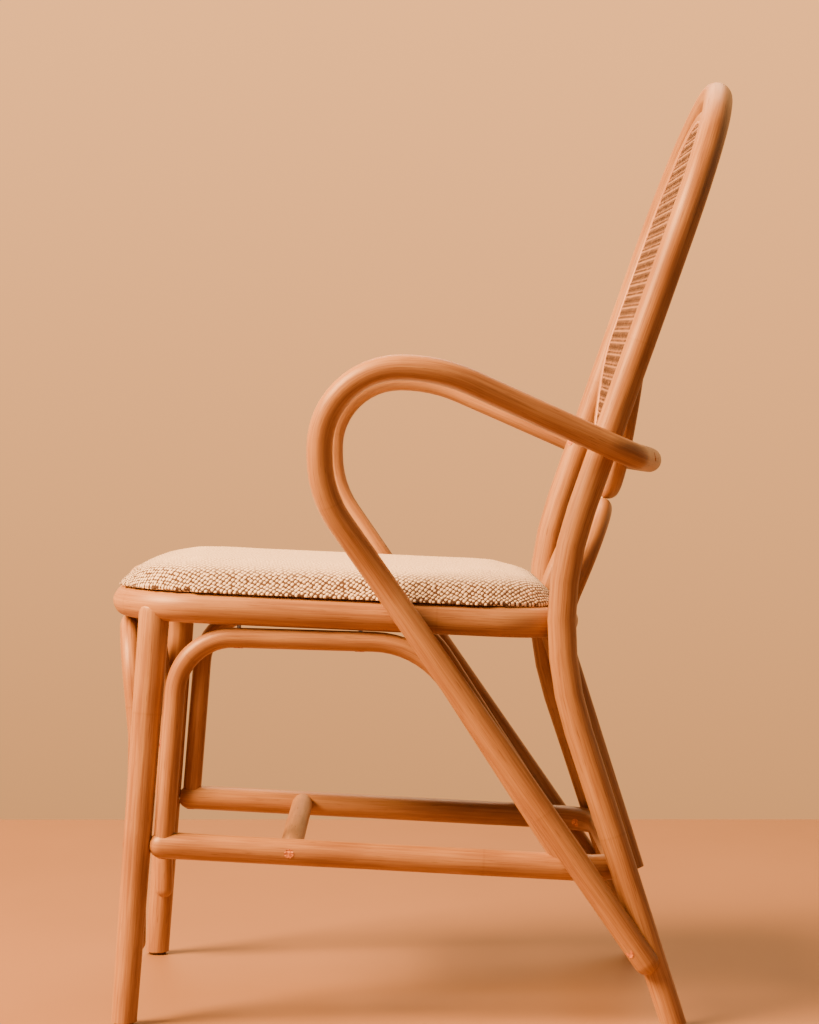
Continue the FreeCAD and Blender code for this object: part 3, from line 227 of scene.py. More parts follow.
# The webbing: the back's curve, the line it is trimmed to, and how both are measured
CANE_PROFILE = [
    ((0.0, 0.17753, 0.51198), 0.0),
    ((0.0, 0.19805, 0.65264), 0.26),
    ((0.0, 0.28115, 0.88726), 0.0),
]
CANE_OUTLINE = [
    ((0.17083, 0.17753, 0.51398), 0.108),
    ((0.17083, 0.19805, 0.65264), 0.26),
    ((0.17083, 0.25927, 0.82556), 0.1238),
    ((0.0, 0.28927, 0.91027), 0.2138),
]
OUTLINE_POINTS = 400
CANE_MARGIN = 0.05
HALVINGS = 40
DIAGONAL = 0.7071
STRAND_SHIFT = 0.37


def even(radius):
    """Makes the radius of a pole that doesn't taper."""
    return lambda distance, course: radius


def closed_course(side):
    """Makes a closed course of one side's corners, which starts and ends in the middle of its first bar."""
    (x, y, z), bend = side[0]
    rising = one_side(side, -1)
    falling = one_side(list(reversed(side[:-1])), 1)
    return [((0.0, y, z), 0.0)] + rising + falling + [((0.0, y, z), 0.0)]


class Course:
    """A pole's centreline: straight runs joined by tangent bends, measured from its start."""

    def __init__(self, corners):
        points = [Vector(point) for point, bend in corners]
        self.pieces = []
        start = points[0]
        for i in range(1, len(points) - 1):
            before = (points[i - 1] - points[i]).normalized()
            after = (points[i + 1] - points[i]).normalized()
            half = (math.pi - before.angle(after)) / 2
            bend = corners[i][1]
            reach = bend * math.tan(half)
            enter = points[i] + before * reach
            middle = points[i] + (before + after).normalized() * (bend / math.cos(half))
            axis = (-before).cross(after).normalized()
            self.add_run(start, enter)
            self.pieces.append(("bend", enter, middle, axis, 2 * half, bend * 2 * half))
            start = points[i] + after * reach
        self.add_run(start, points[-1])
        self.ends = [0.0]
        for piece in self.pieces:
            self.ends.append(self.ends[-1] + piece[-1])

    def add_run(self, start, end):
        """Adds a straight run, unless the bends on both sides of it meet."""
        run = end - start
        if run.length > 1e-5:
            self.pieces.append(("run", start, run.normalized(), None, 0.0, run.length))

    @property
    def length(self):
        return self.ends[-1]

    def index_at(self, distance):
        """Gives which piece lies at a distance from the start."""
        return max(0, min(len(self.pieces) - 1, int(np.searchsorted(self.ends, distance, "right")) - 1))

    def at(self, distance):
        """Gives the point and the direction at a distance from the start."""
        index = self.index_at(distance)
        kind, first, second, axis, turn, total = self.pieces[index]
        along = distance - self.ends[index]
        if kind == "run":
            return first + second * along, second
        spin = Quaternion(axis, turn * along / total)
        arm = spin @ (first - second)
        return second + arm, axis.cross(arm).normalized()

    def handle(self, low, high):
        """Gives the length of the curve handles that follow the course between two of its stations."""
        kind, first, second, axis, turn, total = self.pieces[self.index_at((low + high) / 2)]
        if kind == "run":
            return (high - low) / 3
        part = turn * (high - low) / total
        return 4 / 3 * math.tan(part / 4) * total / turn


def growth_rings(course, settings, seed):
    """Gives the distances at which a pole has its growth rings."""
    chance = np.random.default_rng(seed)
    rings = []
    place = settings.joint_pitch * (0.3 + 0.5 * chance.random())
    while place < course.length - 0.03:
        rings.append(place)
        place += settings.joint_pitch * (0.75 + 0.5 * chance.random())
    return rings


def stations(course, settings, rings):
    """Gives the distances at which the pole's curve has a point."""
    marks = set(course.ends)
    for i, piece in enumerate(course.pieces):
        if piece[0] == "run":
            count = math.ceil(piece[-1] / settings.run_step)
        else:
            count = math.ceil(piece[4] / settings.arc_step)
        marks.update(course.ends[i] + piece[-1] * j / count for j in range(1, count))
    reach = 3 * settings.joint_width
    for ring in rings:
        near = [mark for mark in marks if abs(mark - ring) < reach and mark not in course.ends]
        marks.difference_update(near)
        marks.update([ring - settings.joint_width, ring, ring + settings.joint_width])
    return sorted(mark for mark in marks if 0 <= mark <= course.length)


def deselect():
    """Leaves nothing selected."""
    if bpy.context.object and bpy.context.object.mode != "OBJECT":
        bpy.ops.object.mode_set(mode="OBJECT")
    bpy.ops.object.select_all(action="DESELECT")


def choose(piece):
    """Makes a piece the only selected one and the active one."""
    deselect()
    piece.select_set(True)
    bpy.context.view_layer.objects.active = piece


def finish_modifiers(piece):
    """Applies all of a piece's modifiers."""
    choose(piece)
    for modifier in list(piece.modifiers):
        bpy.ops.object.modifier_apply(modifier=modifier.name)


def edit_all(piece):
    """Starts to edit all of a piece."""
    choose(piece)
    bpy.ops.object.mode_set(mode="EDIT")
    bpy.ops.mesh.select_all(action="SELECT")


def face_outwards(piece):
    """Merges a piece's doubles and turns its faces outwards."""
    edit_all(piece)
    bpy.ops.mesh.remove_doubles(threshold=1e-6)
    bpy.ops.mesh.normals_make_consistent(inside=False)
    bpy.ops.object.mode_set(mode="OBJECT")


def thicken(piece, thickness):
    """Gives a flat piece its thickness, half of it to each side."""
    thick = piece.modifiers.new("thickness", "SOLIDIFY")
    thick.thickness = thickness
    thick.offset = 0.0
    finish_modifiers(piece)


def read_places(mesh):
    """Reads the places of a mesh's points."""
    places = np.zeros(len(mesh.vertices) * 3)
    mesh.vertices.foreach_get("co", places)
    return places.reshape(-1, 3)


def store(mesh, name, values):
    """Stores a vector or a number for each of a mesh's points."""
    kind, field = ("FLOAT_VECTOR", "vector") if values.ndim == 2 else ("FLOAT", "value")
    mesh.attributes.new(name, kind, "POINT").data.foreach_set(field, values.ravel())


def clear_choice(mesh):
    """Leaves no part of a mesh selected."""
    for part in (mesh.polygons, mesh.edges, mesh.vertices):
        part.foreach_set("select", np.zeros(len(part), bool))


def add_object(name, data):
    """Puts a new object into the scene."""
    made = bpy.data.objects.new(name, data)
    bpy.context.scene.collection.objects.link(made)
    return made


def start_piece(name, add):
    """Adds a plain form one metre wide and starts to edit all of it."""
    deselect()
    add(size=1)
    piece = bpy.context.object
    piece.name = name
    edit_all(piece)
    return piece


def dress(piece, nodes, finish, degrees=35):
    """Smooths a piece between its sharp edges, puts it in its CAD nodes' place and gives it a finish."""
    choose(piece)
    bpy.ops.object.shade_smooth_by_angle(angle=math.radians(degrees))
    piece.data.materials.clear()
    piece.data.materials.append(finish)
    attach(piece, "root")
    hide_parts(*nodes)


def pole(name, corners, radius_at, seed, rounded=False):
    """Makes one pole: a bevelled curve along its course, with growth rings, made a mesh."""
    settings = bpy.context.scene.rattan
    course = Course(corners)
    rings = growth_rings(course, settings, seed)
    marks = stations(course, settings, rings)
    phases = np.random.default_rng(seed + 1000).random(3) * 2 * math.pi

    def radius(distance):
        wave = math.sin(distance * LONG_WAVE + phases[0])
        wave += SHORT_SHARE * math.sin(distance * SHORT_WAVE + phases[1])
        near = min((abs(distance - ring) for ring in rings), default=1.0)
        swell = settings.joint_swell if near < settings.joint_width / 2 else 0.0
        return radius_at(distance, course) * (1 + settings.waviness * wave / (1 + SHORT_SHARE) + swell)

    deselect()
    bpy.ops.curve.primitive_bezier_curve_add()
    piece = bpy.context.object
    piece.name = name
    curve = piece.data
    curve.dimensions = "3D"
    curve.resolution_u = 3
    curve.bevel_depth = 1.0
    curve.bevel_resolution = settings.sides
    line = curve.splines[0]
    line.bezier_points.add(len(marks) - 2)
    for i, mark in enumerate(marks):
        point, along = course.at(mark)
        knot = line.bezier_points[i]
        knot.handle_left_type = knot.handle_right_type = "FREE"
        knot.co = point
        before = course.handle(marks[i - 1], mark) if i else END_HANDLE
        after = course.handle(mark, marks[i + 1]) if i < len(marks) - 1 else END_HANDLE
        knot.handle_left = point - along * before
        knot.handle_right = point + along * after
        knot.radius = radius(mark)
    choose(piece)
    bpy.ops.object.convert(target="MESH")
    piece = bpy.context.object
    mark_grain(piece, rings)
    for end in (0, 1):
        close_end(piece, end, rounded)
    face_outwards(piece)
    return piece


def pole_sides():
    """Gives how many points there are round a pole."""
    return 2 * (bpy.context.scene.rattan.sides + 2)


def close_end(piece, end, rounded):
    """Closes one end of a pole, and rounds it by extruding and narrowing the closing face."""
    choose(piece)
    mesh = piece.data
    around = pole_sides()
    first = 0 if end == 0 else (mesh["stations"] - 1) * around
    inner = first + around if end == 0 else first - around
    rim = mesh.vertices[first:first + around]
    clear_choice(mesh)
    for vert in rim:
        vert.select = True
    centre = sum((vert.co for vert in rim), Vector()) / around
    behind = sum((vert.co for vert in mesh.vertices[inner:inner + around]), Vector()) / around
    outward = (centre - behind).normalized()
    radius = (rim[0].co - centre).length
    bpy.ops.object.mode_set(mode="EDIT")
    bpy.ops.mesh.select_mode(type="VERT")
    bpy.ops.mesh.edge_face_add()
    shrunk, risen = 1.0, 0.0
    for degrees in DOME_STEPS if rounded else ():
        share, rise = math.cos(math.radians(degrees)), radius * math.sin(math.radians(degrees))
        bpy.ops.mesh.extrude_region_move(TRANSFORM_OT_translate={"value": outward * (rise - risen)})
        bpy.ops.transform.resize(value=(share / shrunk,) * 3)
        shrunk, risen = share, rise
    bpy.ops.object.mode_set(mode="OBJECT")


def mark_grain(piece, rings):
    """Stores where each point lies across and along the pole, and how near its growth ring is."""
    mesh = piece.data
    around = pole_sides()
    loops = read_places(mesh).reshape(-1, around, 3)
    mesh["stations"] = len(loops)
    centres = loops.mean(axis=1)
    along = np.concatenate([[0.0], np.cumsum(np.linalg.norm(np.diff(centres, axis=0), axis=1))])
    radii = np.linalg.norm(loops - centres[:, None], axis=2).mean(axis=1)
    angles = np.arange(around) * 2 * math.pi / around
    grain = np.zeros((len(loops) * around, 3))
    grain[:, 0] = np.outer(radii, np.cos(angles)).ravel()
    grain[:, 1] = np.outer(radii, np.sin(angles)).ravel()
    grain[:, 2] = np.repeat(along, around)
    near = np.full(len(grain), 1.0)
    for ring in rings:
        near = np.minimum(near, np.abs(grain[:, 2] - ring))
    store(mesh, "grain", grain)
    store(mesh, "ring", near)


def level_foot(piece):
    """Cuts a leg's foot level, at the top of its glide."""
    edit_all(piece)
    bpy.ops.mesh.bisect(plane_co=(0, 0, FLOOR_GAP), plane_no=(0, 0, 1), clear_inner=True, use_fill=True)
    bpy.ops.object.mode_set(mode="OBJECT")


# Finishes: node materials written as sums


def maths(operation, swapped=False):
    """Makes one operator of a level, which adds a maths node."""
    return lambda self, other: self.joined(operation, other, swapped)


class Level:
    """One value or vector among nodes; sums of them add maths nodes."""

    __add__ = maths("ADD")
    __radd__ = maths("ADD", True)
    __sub__ = maths("SUBTRACT")
    __rsub__ = maths("SUBTRACT", True)
    __mul__ = maths("MULTIPLY")
    __rmul__ = maths("MULTIPLY", True)

    def __init__(self, nodes, socket):
        self.nodes = nodes
        self.socket = socket

    def joined(self, operation, other, swapped):
        """Adds a maths node of the level's own kind."""
        first, second = (other, self) if swapped else (self, other)
        kind = "ShaderNodeVectorMath" if self.socket.type == "VECTOR" else "ShaderNodeMath"
        return self.nodes.node(kind, {"operation": operation}, {0: first, 1: second})

    def band(self, low, high, start=0.0, end=1.0, shape="SMOOTHSTEP"):
        """Goes from start to end as the value goes from low to high."""
        values = {0: self, 1: low, 2: high, 3: start, 4: end}
        return self.nodes.node("ShaderNodeMapRange", {"interpolation_type": shape}, values)


class Nodes:
    """The nodes of a material or of the world."""

    def __init__(self, holder):
        holder.use_nodes = True
        self.tree = holder.node_tree

    def node(self, kind, settings=None, values=None, output=0):
        """Adds a node with its settings and its sockets' values or links, and gives one of its outputs."""
        made = self.tree.nodes.new(kind)
        for key, value in (settings or {}).items():
            setattr(made, key, value)
        for key, value in (values or {}).items():
            self.feed(made.inputs[key], value)
        return Level(self, made.outputs[output])

    def feed(self, socket, value):
        """Links a value to a socket, or sets it there."""
        if isinstance(value, Level):
            self.tree.links.new(value.socket, socket)
        elif socket.type == "RGBA" and len(value) == 3:
            socket.default_value = (*value, 1.0)
        else:
            socket.default_value = value

    def stored(self, name, output="Vector"):
        """Reads one of the piece's own attributes."""
        return self.node("ShaderNodeAttribute", {"attribute_name": name}, None, output)

    def place(self):
        """Reads the place on the piece."""
        return self.node("ShaderNodeTexCoord", None, None, "Object")

    def noise(self, vector, scale, detail=2.0, roughness=0.5):
        """Adds a noise pattern."""
        values = {"Vector": vector, "Scale": scale, "Detail": detail, "Roughness": roughness}
        return self.node("ShaderNodeTexNoise", None, values)

    def cells(self, vector, randomness):
        """Adds a pattern of cells one unit wide: the distance to the nearest cell's middle."""
        values = {"Vector": vector, "Scale": 1.0, "Randomness": randomness}
        return self.node("ShaderNodeTexVoronoi", None, values, "Distance")

    def mixed(self, share, first, second):
        """Mixes two colours."""
        return self.node("ShaderNodeMix", {"data_type": "RGBA"}, {0: share, 6: first, 7: second}, 2)

    def relief(self, height, distance, strength=0.4):
        """Turns a height pattern into a bump."""
        values = {"Height": height, "Distance": distance, "Strength": strength}
        return self.node("ShaderNodeBump", None, values)


class Finish(Nodes):
    """One material: its shader's own settings, and the nodes that feed it."""

    def __init__(self, name, **constants):
        self.material = bpy.data.materials.new(name)
        super().__init__(self.material)
        self.give(**constants)

    def give(self, **levels):
        """Links values to the shader, or sets them there."""
        inputs = self.tree.nodes["Principled BSDF"].inputs
        for key, value in levels.items():
            self.feed(inputs[key.replace("_", " ").title().replace("Ior", "IOR")], value)

    def vary(self, pattern, dark, light, rough, spread, depth):
        """Lets one pattern vary the colour, the roughness and the surface."""
        self.give(
            base_color=self.mixed(pattern.band(0.3, 0.7), dark, light),
            roughness=rough + (pattern - 0.5) * spread,
            normal=self.relief(pattern, depth),
        )


def rattan_finish():
    """Makes stained and lacquered rattan: fibres along the pole, growth rings and dark specks."""
    colours = bpy.context.scene.rattan
    finish = Finish("stained_rattan", coat_weight=0.14, coat_roughness=0.34, specular_ior_level=0.4)
    grain = finish.stored("grain")
    ring = finish.stored("ring", "Fac")
    fibre = finish.noise(grain * (1.0, 1.0, 0.014), 1500.0, 3.0, 0.6)
    streak = finish.noise(grain * (1.0, 1.0, 0.03), 330.0, 2.0)
    cloud = finish.noise(grain * (1.0, 1.0, 0.35), 24.0, 2.0)
    dash = finish.noise(grain * (1.0, 1.0, 0.05) + (3.0, 5.0, 1.0), 900.0, 1.0)
    body = (fibre - 0.5) * 0.8 + (streak - 0.5) * 0.7 + (cloud - 0.5) * 0.8
    base = finish.mixed(body.band(-0.25, 0.35), colours.middle, colours.light)
    base = finish.mixed(body.band(0.0, -0.6) * 0.5, base, colours.dark)
    dots = dash.band(0.66, 0.76)
    rim = ring.band(0.0018, 0.0002)
    base = finish.mixed(dots * 0.45, base, colours.dark)
    base = finish.mixed(rim * 0.12, base, colours.dark)
    height = fibre * 0.6 + streak * 0.4 - dots * 0.4 - rim * 0.4
    finish.give(
        base_color=base,
        roughness=0.43 + (fibre - 0.5) * 0.2 + dots * 0.15,
        normal=finish.relief(height, 0.00012),
    )
    return finish.material


def cane_finish(name, light, dark):
    """Makes split cane: glossy rind with fine fibres along each strand, with painted light on the level
    strands and painted shade on the upright and slanting ones.
    """
    finish = Finish(name, coat_weight=0.2, coat_roughness=0.3)
    grain = finish.stored("grain")
    level = finish.stored("level", "Fac")
    fibre = finish.noise(grain * (1.0, 1.0, 0.03), 1500.0, 2.0)
    strand = finish.noise(grain * (1.0, 1.0, 0.12), 160.0, 2.0)
    # Painted light and shade: the level strands are lifted towards the light cane colour, and the upright and
    # slanting ones stay nearer the dark one.
    tint = strand * 0.7 + fibre * 0.2 + level * 0.45
    base = finish.mixed(tint.band(0.32, 0.95), dark, light)
    finish.give(base_color=base, roughness=0.42 + (fibre - 0.5) * 0.2, normal=finish.relief(fibre, 0.0002))
    return finish.material


def boucle_finish():
    """Makes boucle: pale looped nubs in slanting rows, with painted shade in the gaps between them, deepest
    on the cushion's sides, and a fine fuzz.
    """
    colours = bpy.context.scene.seat
    finish = Finish("boucle", specular_ior_level=0.2, sheen_weight=0.35, sheen_roughness=0.5)
    weave = finish.stored("weave")
    flank = finish.stored("flank", "Fac")
    yarn = finish.noise(weave, 4.5, 3.0, 0.65)
    patch = finish.noise(weave, 0.35, 2.0)
    nub = 1.0 - finish.cells(weave, 0.28) * 1.7
    # Painted shade: the gaps between the nubs are darkened fully on the lower half of the cushion's sides,
    # and to about a third of that on its top.
    gap = (nub + (patch - 0.5) * 0.25).band(0.48, 0.10)
    painted_gap_shade = gap * (0.30 + flank.band(0.0, 0.5) * 0.70)
    tint = 1.0 - painted_gap_shade + (yarn - 0.5) * 0.3
    base = finish.mixed(tint.band(0.0, 1.0), colours.dark, colours.light)
    height = nub.band(0.0, 0.8) + yarn * 0.25
    finish.give(
        base_color=base,
        roughness=0.92 + (yarn - 0.5) * 0.1,
        normal=finish.relief(height, colours.nub_height, 0.8),
    )
    return finish.material


def wood_finish(name, light, dark, scale):
    """Makes plain wood with straight grain."""
    finish = Finish(name, coat_weight=0.2, coat_roughness=0.3)
    finish.vary(finish.noise(finish.place() * (0.1, 1.0, 1.0), scale, 3.0), dark, light, 0.45, 0.3, 0.0003)
    return finish.material


def plain_finish(name, light, dark, scale, rough, metallic=0.0):
    """Makes moulded plastic, drawn metal or felt with a fine mottle."""
    finish = Finish(name, metallic=metallic)
    finish.vary(finish.noise(finish.place(), scale, 3.0), dark, light, rough, 0.2, 0.0002)
    return finish.material


# Operators: one for each group of like pieces


class CHAIR_OT_frame_poles(bpy.types.Operator):
    """Bends the seat ring, the back pole, the stretchers and the arches"""

    bl_idname = "chair.frame_poles"
    bl_label = "Frame poles"

    def execute(self, context):
        finish = rattan_finish()

        def back_radius(distance, course):
            near = min(distance, course.length - distance)
            leg_end, waist, shoulder = course.ends[1:4]
            if near < leg_end:
                return FOOT_R + (WAIST_R - FOOT_R) * near / leg_end
            share = max(0.0, min(1.0, (near - waist) / (shoulder - waist)))
            return WAIST_R + (BACK_R - WAIST_R) * share

        made = {
            "seat_ring_pole": ("seat_ring", closed_course(SEAT_SIDE), even(RAIL_R), False),
            "back_pole": ("back_and_rear_legs", BACK_POLE, back_radius, False),
            "arm_pole_bent": ("arm_pole", ARM_POLE, even(ARM_R), True),
            "oval_ring": ("back_oval_ring", closed_course(OVAL_SIDE), even(THIN_R), False),
            "stretcher_pole": ("stretcher_u", STRETCHER, even(STRETCHER_R), True),
            "cross_pole": ("cross_stretcher", CROSS_STRETCHER, even(CROSS_R), False),
            "front_arch_pole": ("front_arch", FRONT_ARCH, even(ARCH_R), True),
            "rear_arch_pole": ("rear_arch", REAR_ARCH, even(ARCH_R), False),
            "side_arch_pole_left": ("side_arch_left", one_side(SIDE_ARCH, 1), even(THIN_R), False),
            "side_arch_pole_right": ("side_arch_right", one_side(SIDE_ARCH, -1), even(THIN_R), False),
        }
        for seed, (name, (node, corners, radius, rounded)) in enumerate(made.items()):
            piece = pole(name, corners, radius, seed, rounded)
            if name == "back_pole":
                level_foot(piece)
            dress(piece, [node], finish)
        return {"FINISHED"}


class CHAIR_OT_front_legs(bpy.types.Operator):
    """Turns the two tapered front legs with their rounded tops"""

    bl_idname = "chair.front_legs"
    bl_label = "Front legs"

    def execute(self, context):
        finish = bpy.data.materials["stained_rattan"]

        def tapered(distance, course):
            left = course.length - distance
            full = FOOT_R + (LEG_R - FOOT_R) * distance / course.length
            if left >= LEG_ROUNDING:
                return full
            return full - LEG_ROUNDING + math.sqrt(LEG_ROUNDING ** 2 - (LEG_ROUNDING - left) ** 2)

        for name, side in (("left", 1), ("right", -1)):
            line = Course(one_side(FRONT_LEG, side))
            top = [line.length - LEG_ROUNDING * share for share in (1.0, 0.7, 0.45, 0.25, 0.1, 0.0)]
            corners = [one_side(FRONT_LEG, side)[0]] + [(tuple(line.at(mark)[0]), 0.0) for mark in top]
            piece = pole(f"front_leg_turned_{name}", corners, tapered, LEG_SEED + side)
            level_foot(piece)
            dress(piece, [f"front_leg_{name}"], finish)
        return {"FINISHED"}


def islands(form):
    """Gives each group of joined points of a mesh."""
    waiting = set(form.verts)
    while waiting:
        island = {waiting.pop()}
        edge = list(island)
        while edge:
            vert = edge.pop()
            found = {link.other_vert(vert) for link in vert.link_edges} - island
            island |= found
            edge.extend(found)
        waiting -= island
        yield island


class CHAIR_OT_screw_plugs(bpy.types.Operator):
    """Sets the wooden plugs a hair proud of the poles"""

    bl_idname = "chair.screw_plugs"
    bl_label = "Screw plugs"

    def execute(self, context):
        piece = add_object("wooden_plugs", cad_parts["screw_plugs"].data.copy())
        face_outwards(piece)
        form = bmesh.new()
        form.from_mesh(piece.data)
        for island in islands(form):
            flat = {}
            for face in {face for vert in island for face in vert.link_faces}:
                key = tuple(round(c, 2) for c in face.normal)
                flat[key] = flat.get(key, 0.0) + face.calc_area()
            outward = -Vector(max(flat, key=flat.get)).normalized()
            for vert in island:
                vert.co += outward * PLUG_RISE
        form.to_mesh(piece.data)
        form.free()
        finish = wood_finish("plug_wood", tone(214, 140, 88), tone(150, 84, 46), 540.0)
        dress(piece, ["screw_plugs"], finish, 30)
        return {"FINISHED"}


class CHAIR_OT_cane_back(bpy.types.Operator):
    """Weaves the cane panel of the back and lays the reed that holds it"""

    bl_idname = "chair.cane_back"
    bl_label = "Cane back"

    def strand(self, size, start, end, width, heights, kind):
        """Adds one flat strand between two places of the cell, bent over and under what it crosses."""
        start, end = Vector(start), Vector(end)
        run = end - start
        turn = math.atan2(run.y, run.x)
        bpy.ops.mesh.primitive_grid_add(x_subdivisions=len(heights) - 1, y_subdivisions=2, size=1)
        piece = bpy.context.object
        shares = [share for share, height in heights]
        for vert in piece.data.vertices:
            along = round((vert.co.x + 0.5) * (len(heights) - 1))
            place = start + run * shares[along]
            across = Vector((-math.sin(turn), math.cos(turn))) * vert.co.y * width
            crown = size.thickness * 0.35 * (1 - abs(vert.co.y) * 2)
            vert.co = (place.x + across.x, place.y + across.y, heights[along][1] + crown)
        stored = piece.data.attributes.new("kind", "INT", "POINT")
        for value in stored.data:
            value.value = kind
        return piece

    def weave_cell(self, size):
        """Weaves one cell: two upright strands, two level ones, and four halves of slanting ones."""
        half, pair, lift = size.pitch / 2, size.pair / 2, size.thickness * 0.55
        low, high = 0.5 - pair / size.pitch, 0.5 + pair / size.pitch
        strands = []
        for side, over in ((-1, 1), (1, -1)):
            wave = [(0.0, 0.0), (low, over * lift), (high, -over * lift), (1.0, 0.0)]
            strands.append(((side * pair, -half), (side * pair, half), size.width, wave, 0))
            wave = [(0.0, 0.0), (low, -over * lift), (high, over * lift), (1.0, 0.0)]
            strands.append(((-half, side * pair), (half, side * pair), size.width, wave, 1))
        tall = size.thickness * 1.1
        for side in (-1, 1):
            for rise in (-1, 1):
                ends = ((side * half, 0), (0, rise * half))
                over = 1 if side * rise < 0 else -1
                wave = [(0.0, -over * tall), (0.5, 0.0), (1.0, over * tall)]
                strands.append((*ends, size.slant_width, wave, 2 if side * rise < 0 else 3))
        pieces = []
        for start, end, width, wave, kind in strands:
            deselect()
            pieces.append(self.strand(size, start, end, width, wave, kind))
        deselect()
        for piece in pieces:
            piece.select_set(True)
        bpy.context.view_layer.objects.active = pieces[0]
        bpy.ops.object.join()
        return bpy.context.object

    def execute(self, context):
        size = context.scene.cane
        cell = self.weave_cell(size)
        cell.name = "cane_webbing"
        for count, offset in ((size.columns, (size.pitch, 0, 0)), (size.rows, (0, size.pitch, 0))):
            array = cell.modifiers.new("rows", "ARRAY")
            array.count = count
            array.use_relative_offset = False
            array.use_constant_offset = True
            array.constant_offset_displace = offset
            array.use_merge_vertices = True
            array.merge_threshold = 1e-5
        finish_modifiers(cell)
        self.lay_on_back(cell, size)
        thicken(cell, size.thickness)
        dress(cell, ["cane_panel"], cane_finish("woven_cane", size.light, size.dark), 50)
        reed = pole("cane_reed", closed_course(SPLINE_SIDE), even(SPLINE_R), REED_SEED)
        dress(reed, ["cane_spline"], cane_finish("reed_cane", size.spline, size.light))
        return {"FINISHED"}

    def lay_on_back(self, cell, size):
        """Trims the flat webbing to the oval and bends it into the back."""
        profile = Course(CANE_PROFILE)
        mesh = cell.data
        places = read_places(mesh)
        places[:, 0] -= (size.columns - 1) * size.pitch / 2
        places[:, 1] -= (size.rows - 1) * size.pitch / 2
        kinds = np.zeros(len(places), np.int32)
        mesh.attributes["kind"].data.foreach_get("value", kinds)
        x, y = places[:, 0].copy(), places[:, 1].copy()
        across = np.choose(kinds, [x, y, (x + y) * DIAGONAL, (x - y) * DIAGONAL])
        along = np.choose(kinds, [y, x, (x - y) * DIAGONAL, (x + y) * DIAGONAL])
        store(mesh, "grain", np.stack([across, kinds * STRAND_SHIFT, along], axis=1))
        # Marks the level strands, which the cane finish paints lighter as painted light, leaving painted
        # shade on the others.
        store(mesh, "level", (kinds == 1).astype(float))
        cosine, sine = math.cos(size.tilt), math.sin(size.tilt)
        places[:, :2] = places[:, :2] @ np.array([[cosine, -sine], [sine, cosine]])
        places[:, 1] += profile.length / 2
        inside = points_within(places[:, :2], oval_outline(profile))
        for i, (px, py, pz) in enumerate(places):
            held = max(0.0, min(profile.length, py))
            point, rising = profile.at(held)
            front = Vector((0.0, -rising.z, rising.y))
            places[i] = point + rising * (py - held) + front * pz
            places[i, 0] = px
        mesh.vertices.foreach_set("co", places.ravel())
        form = bmesh.new()
        form.from_mesh(mesh)
        gone = [face for face in form.faces if not all(inside[vert.index] for vert in face.verts)]
        bmesh.ops.delete(form, geom=gone, context="FACES")
        form.to_mesh(mesh)
        form.free()
        mesh.update()


def oval_outline(profile):
    """Gives the trimming line of the webbing as x and distance up the back."""
    course = Course(closed_course(CANE_OUTLINE))
    points = [course.at(float(mark))[0] for mark in np.linspace(0, course.length, OUTLINE_POINTS)]
    return np.array([(point.x, rise_on(profile, point.z)) for point in points])


def rise_on(profile, height):
    """Gives the distance up the back's profile at a height."""
    low, high = -CANE_MARGIN, profile.length + CANE_MARGIN
    for step in range(HALVINGS):
        middle = (low + high) / 2
        held = max(0.0, min(profile.length, middle))
        point, along = profile.at(held)
        low, high = (middle, high) if (point + along * (middle - held)).z < height else (low, middle)
    return (low + high) / 2


def points_within(points, outline):
    """Tells which points lie within a closed outline."""
    inside = np.zeros(len(points), bool)
    x, y = points[:, 0], points[:, 1]
    for (x0, y0), (x1, y1) in zip(outline, np.roll(outline, -1, axis=0)):
        crosses = (y0 > y) != (y1 > y)
        if y0 != y1:
            inside ^= crosses & (x < (x1 - x0) * (y - y0) / (y1 - y0) + x0)
    return inside


# Padded seat

SEAT_LAY = Matrix.Translation((0.0, -0.07557, 0.39321)) @ Matrix.Rotation(math.radians(-2.65), 4, "X")
PAD_CENTRE = Vector((0.0, -0.006))
PAD_HALF = (0.2055, 0.214)
PAD_CORNER = 0.08
PAD_BOW = 0.0076
PAD_BASE = 0.015
PAD_HIGH = 0.0458 - PAD_BASE
PAD_ROLL = 0.06
PAD_EASE = 0.016
PAD_SOLE = 0.0008
CLOTH_FRAMES = 20
CLOTH_SETTINGS = {
    "use_pressure": True,
    "vertex_group_mass": "held",
    "quality": 5,
    "tension_stiffness": 15,
}

# The dust cloth: sides, corner, widths of its inner rings, height over the seat's middle, sag and thickness
DUST_SIDES = (0.352, 0.386)
DUST_CORNER = 0.06
DUST_RINGS = (0.004, 0.012, 0.016, 0.02)
DUST_RISE = 0.0144
DUST_SAG = 0.0025
DUST_THICKNESS = 0.0006


def pad_border(plan):
    """Gives how far points lie inside the pad's outline, and the way inwards."""
    away = plan - np.array(PAD_CENTRE)
    over = np.abs(away) - (np.array(PAD_HALF) - PAD_CORNER)
    corner = np.maximum(over, 0)
    depth = PAD_CORNER - np.linalg.norm(corner, axis=1) - np.minimum(over.max(axis=1), 0)
    reach = np.linalg.norm(corner, axis=1, keepdims=True)
    inward = -np.sign(away) * corner / np.maximum(reach, 1e-9)
    return depth, inward


def pad_height(inward):
    """Gives the pad's height over its base at distances inwards."""
    return PAD_HIGH * (1 - np.exp(-np.maximum(inward, 0) / PAD_EASE))


def pad_profile():
    """Gives the pad's rounded edge as distances inwards and lengths along the cloth."""
    inward = np.linspace(0, PAD_ROLL, 200)
    steps = np.hypot(np.diff(inward), np.diff(pad_height(inward)))
    return inward, np.concatenate([[0.0], np.cumsum(steps)])


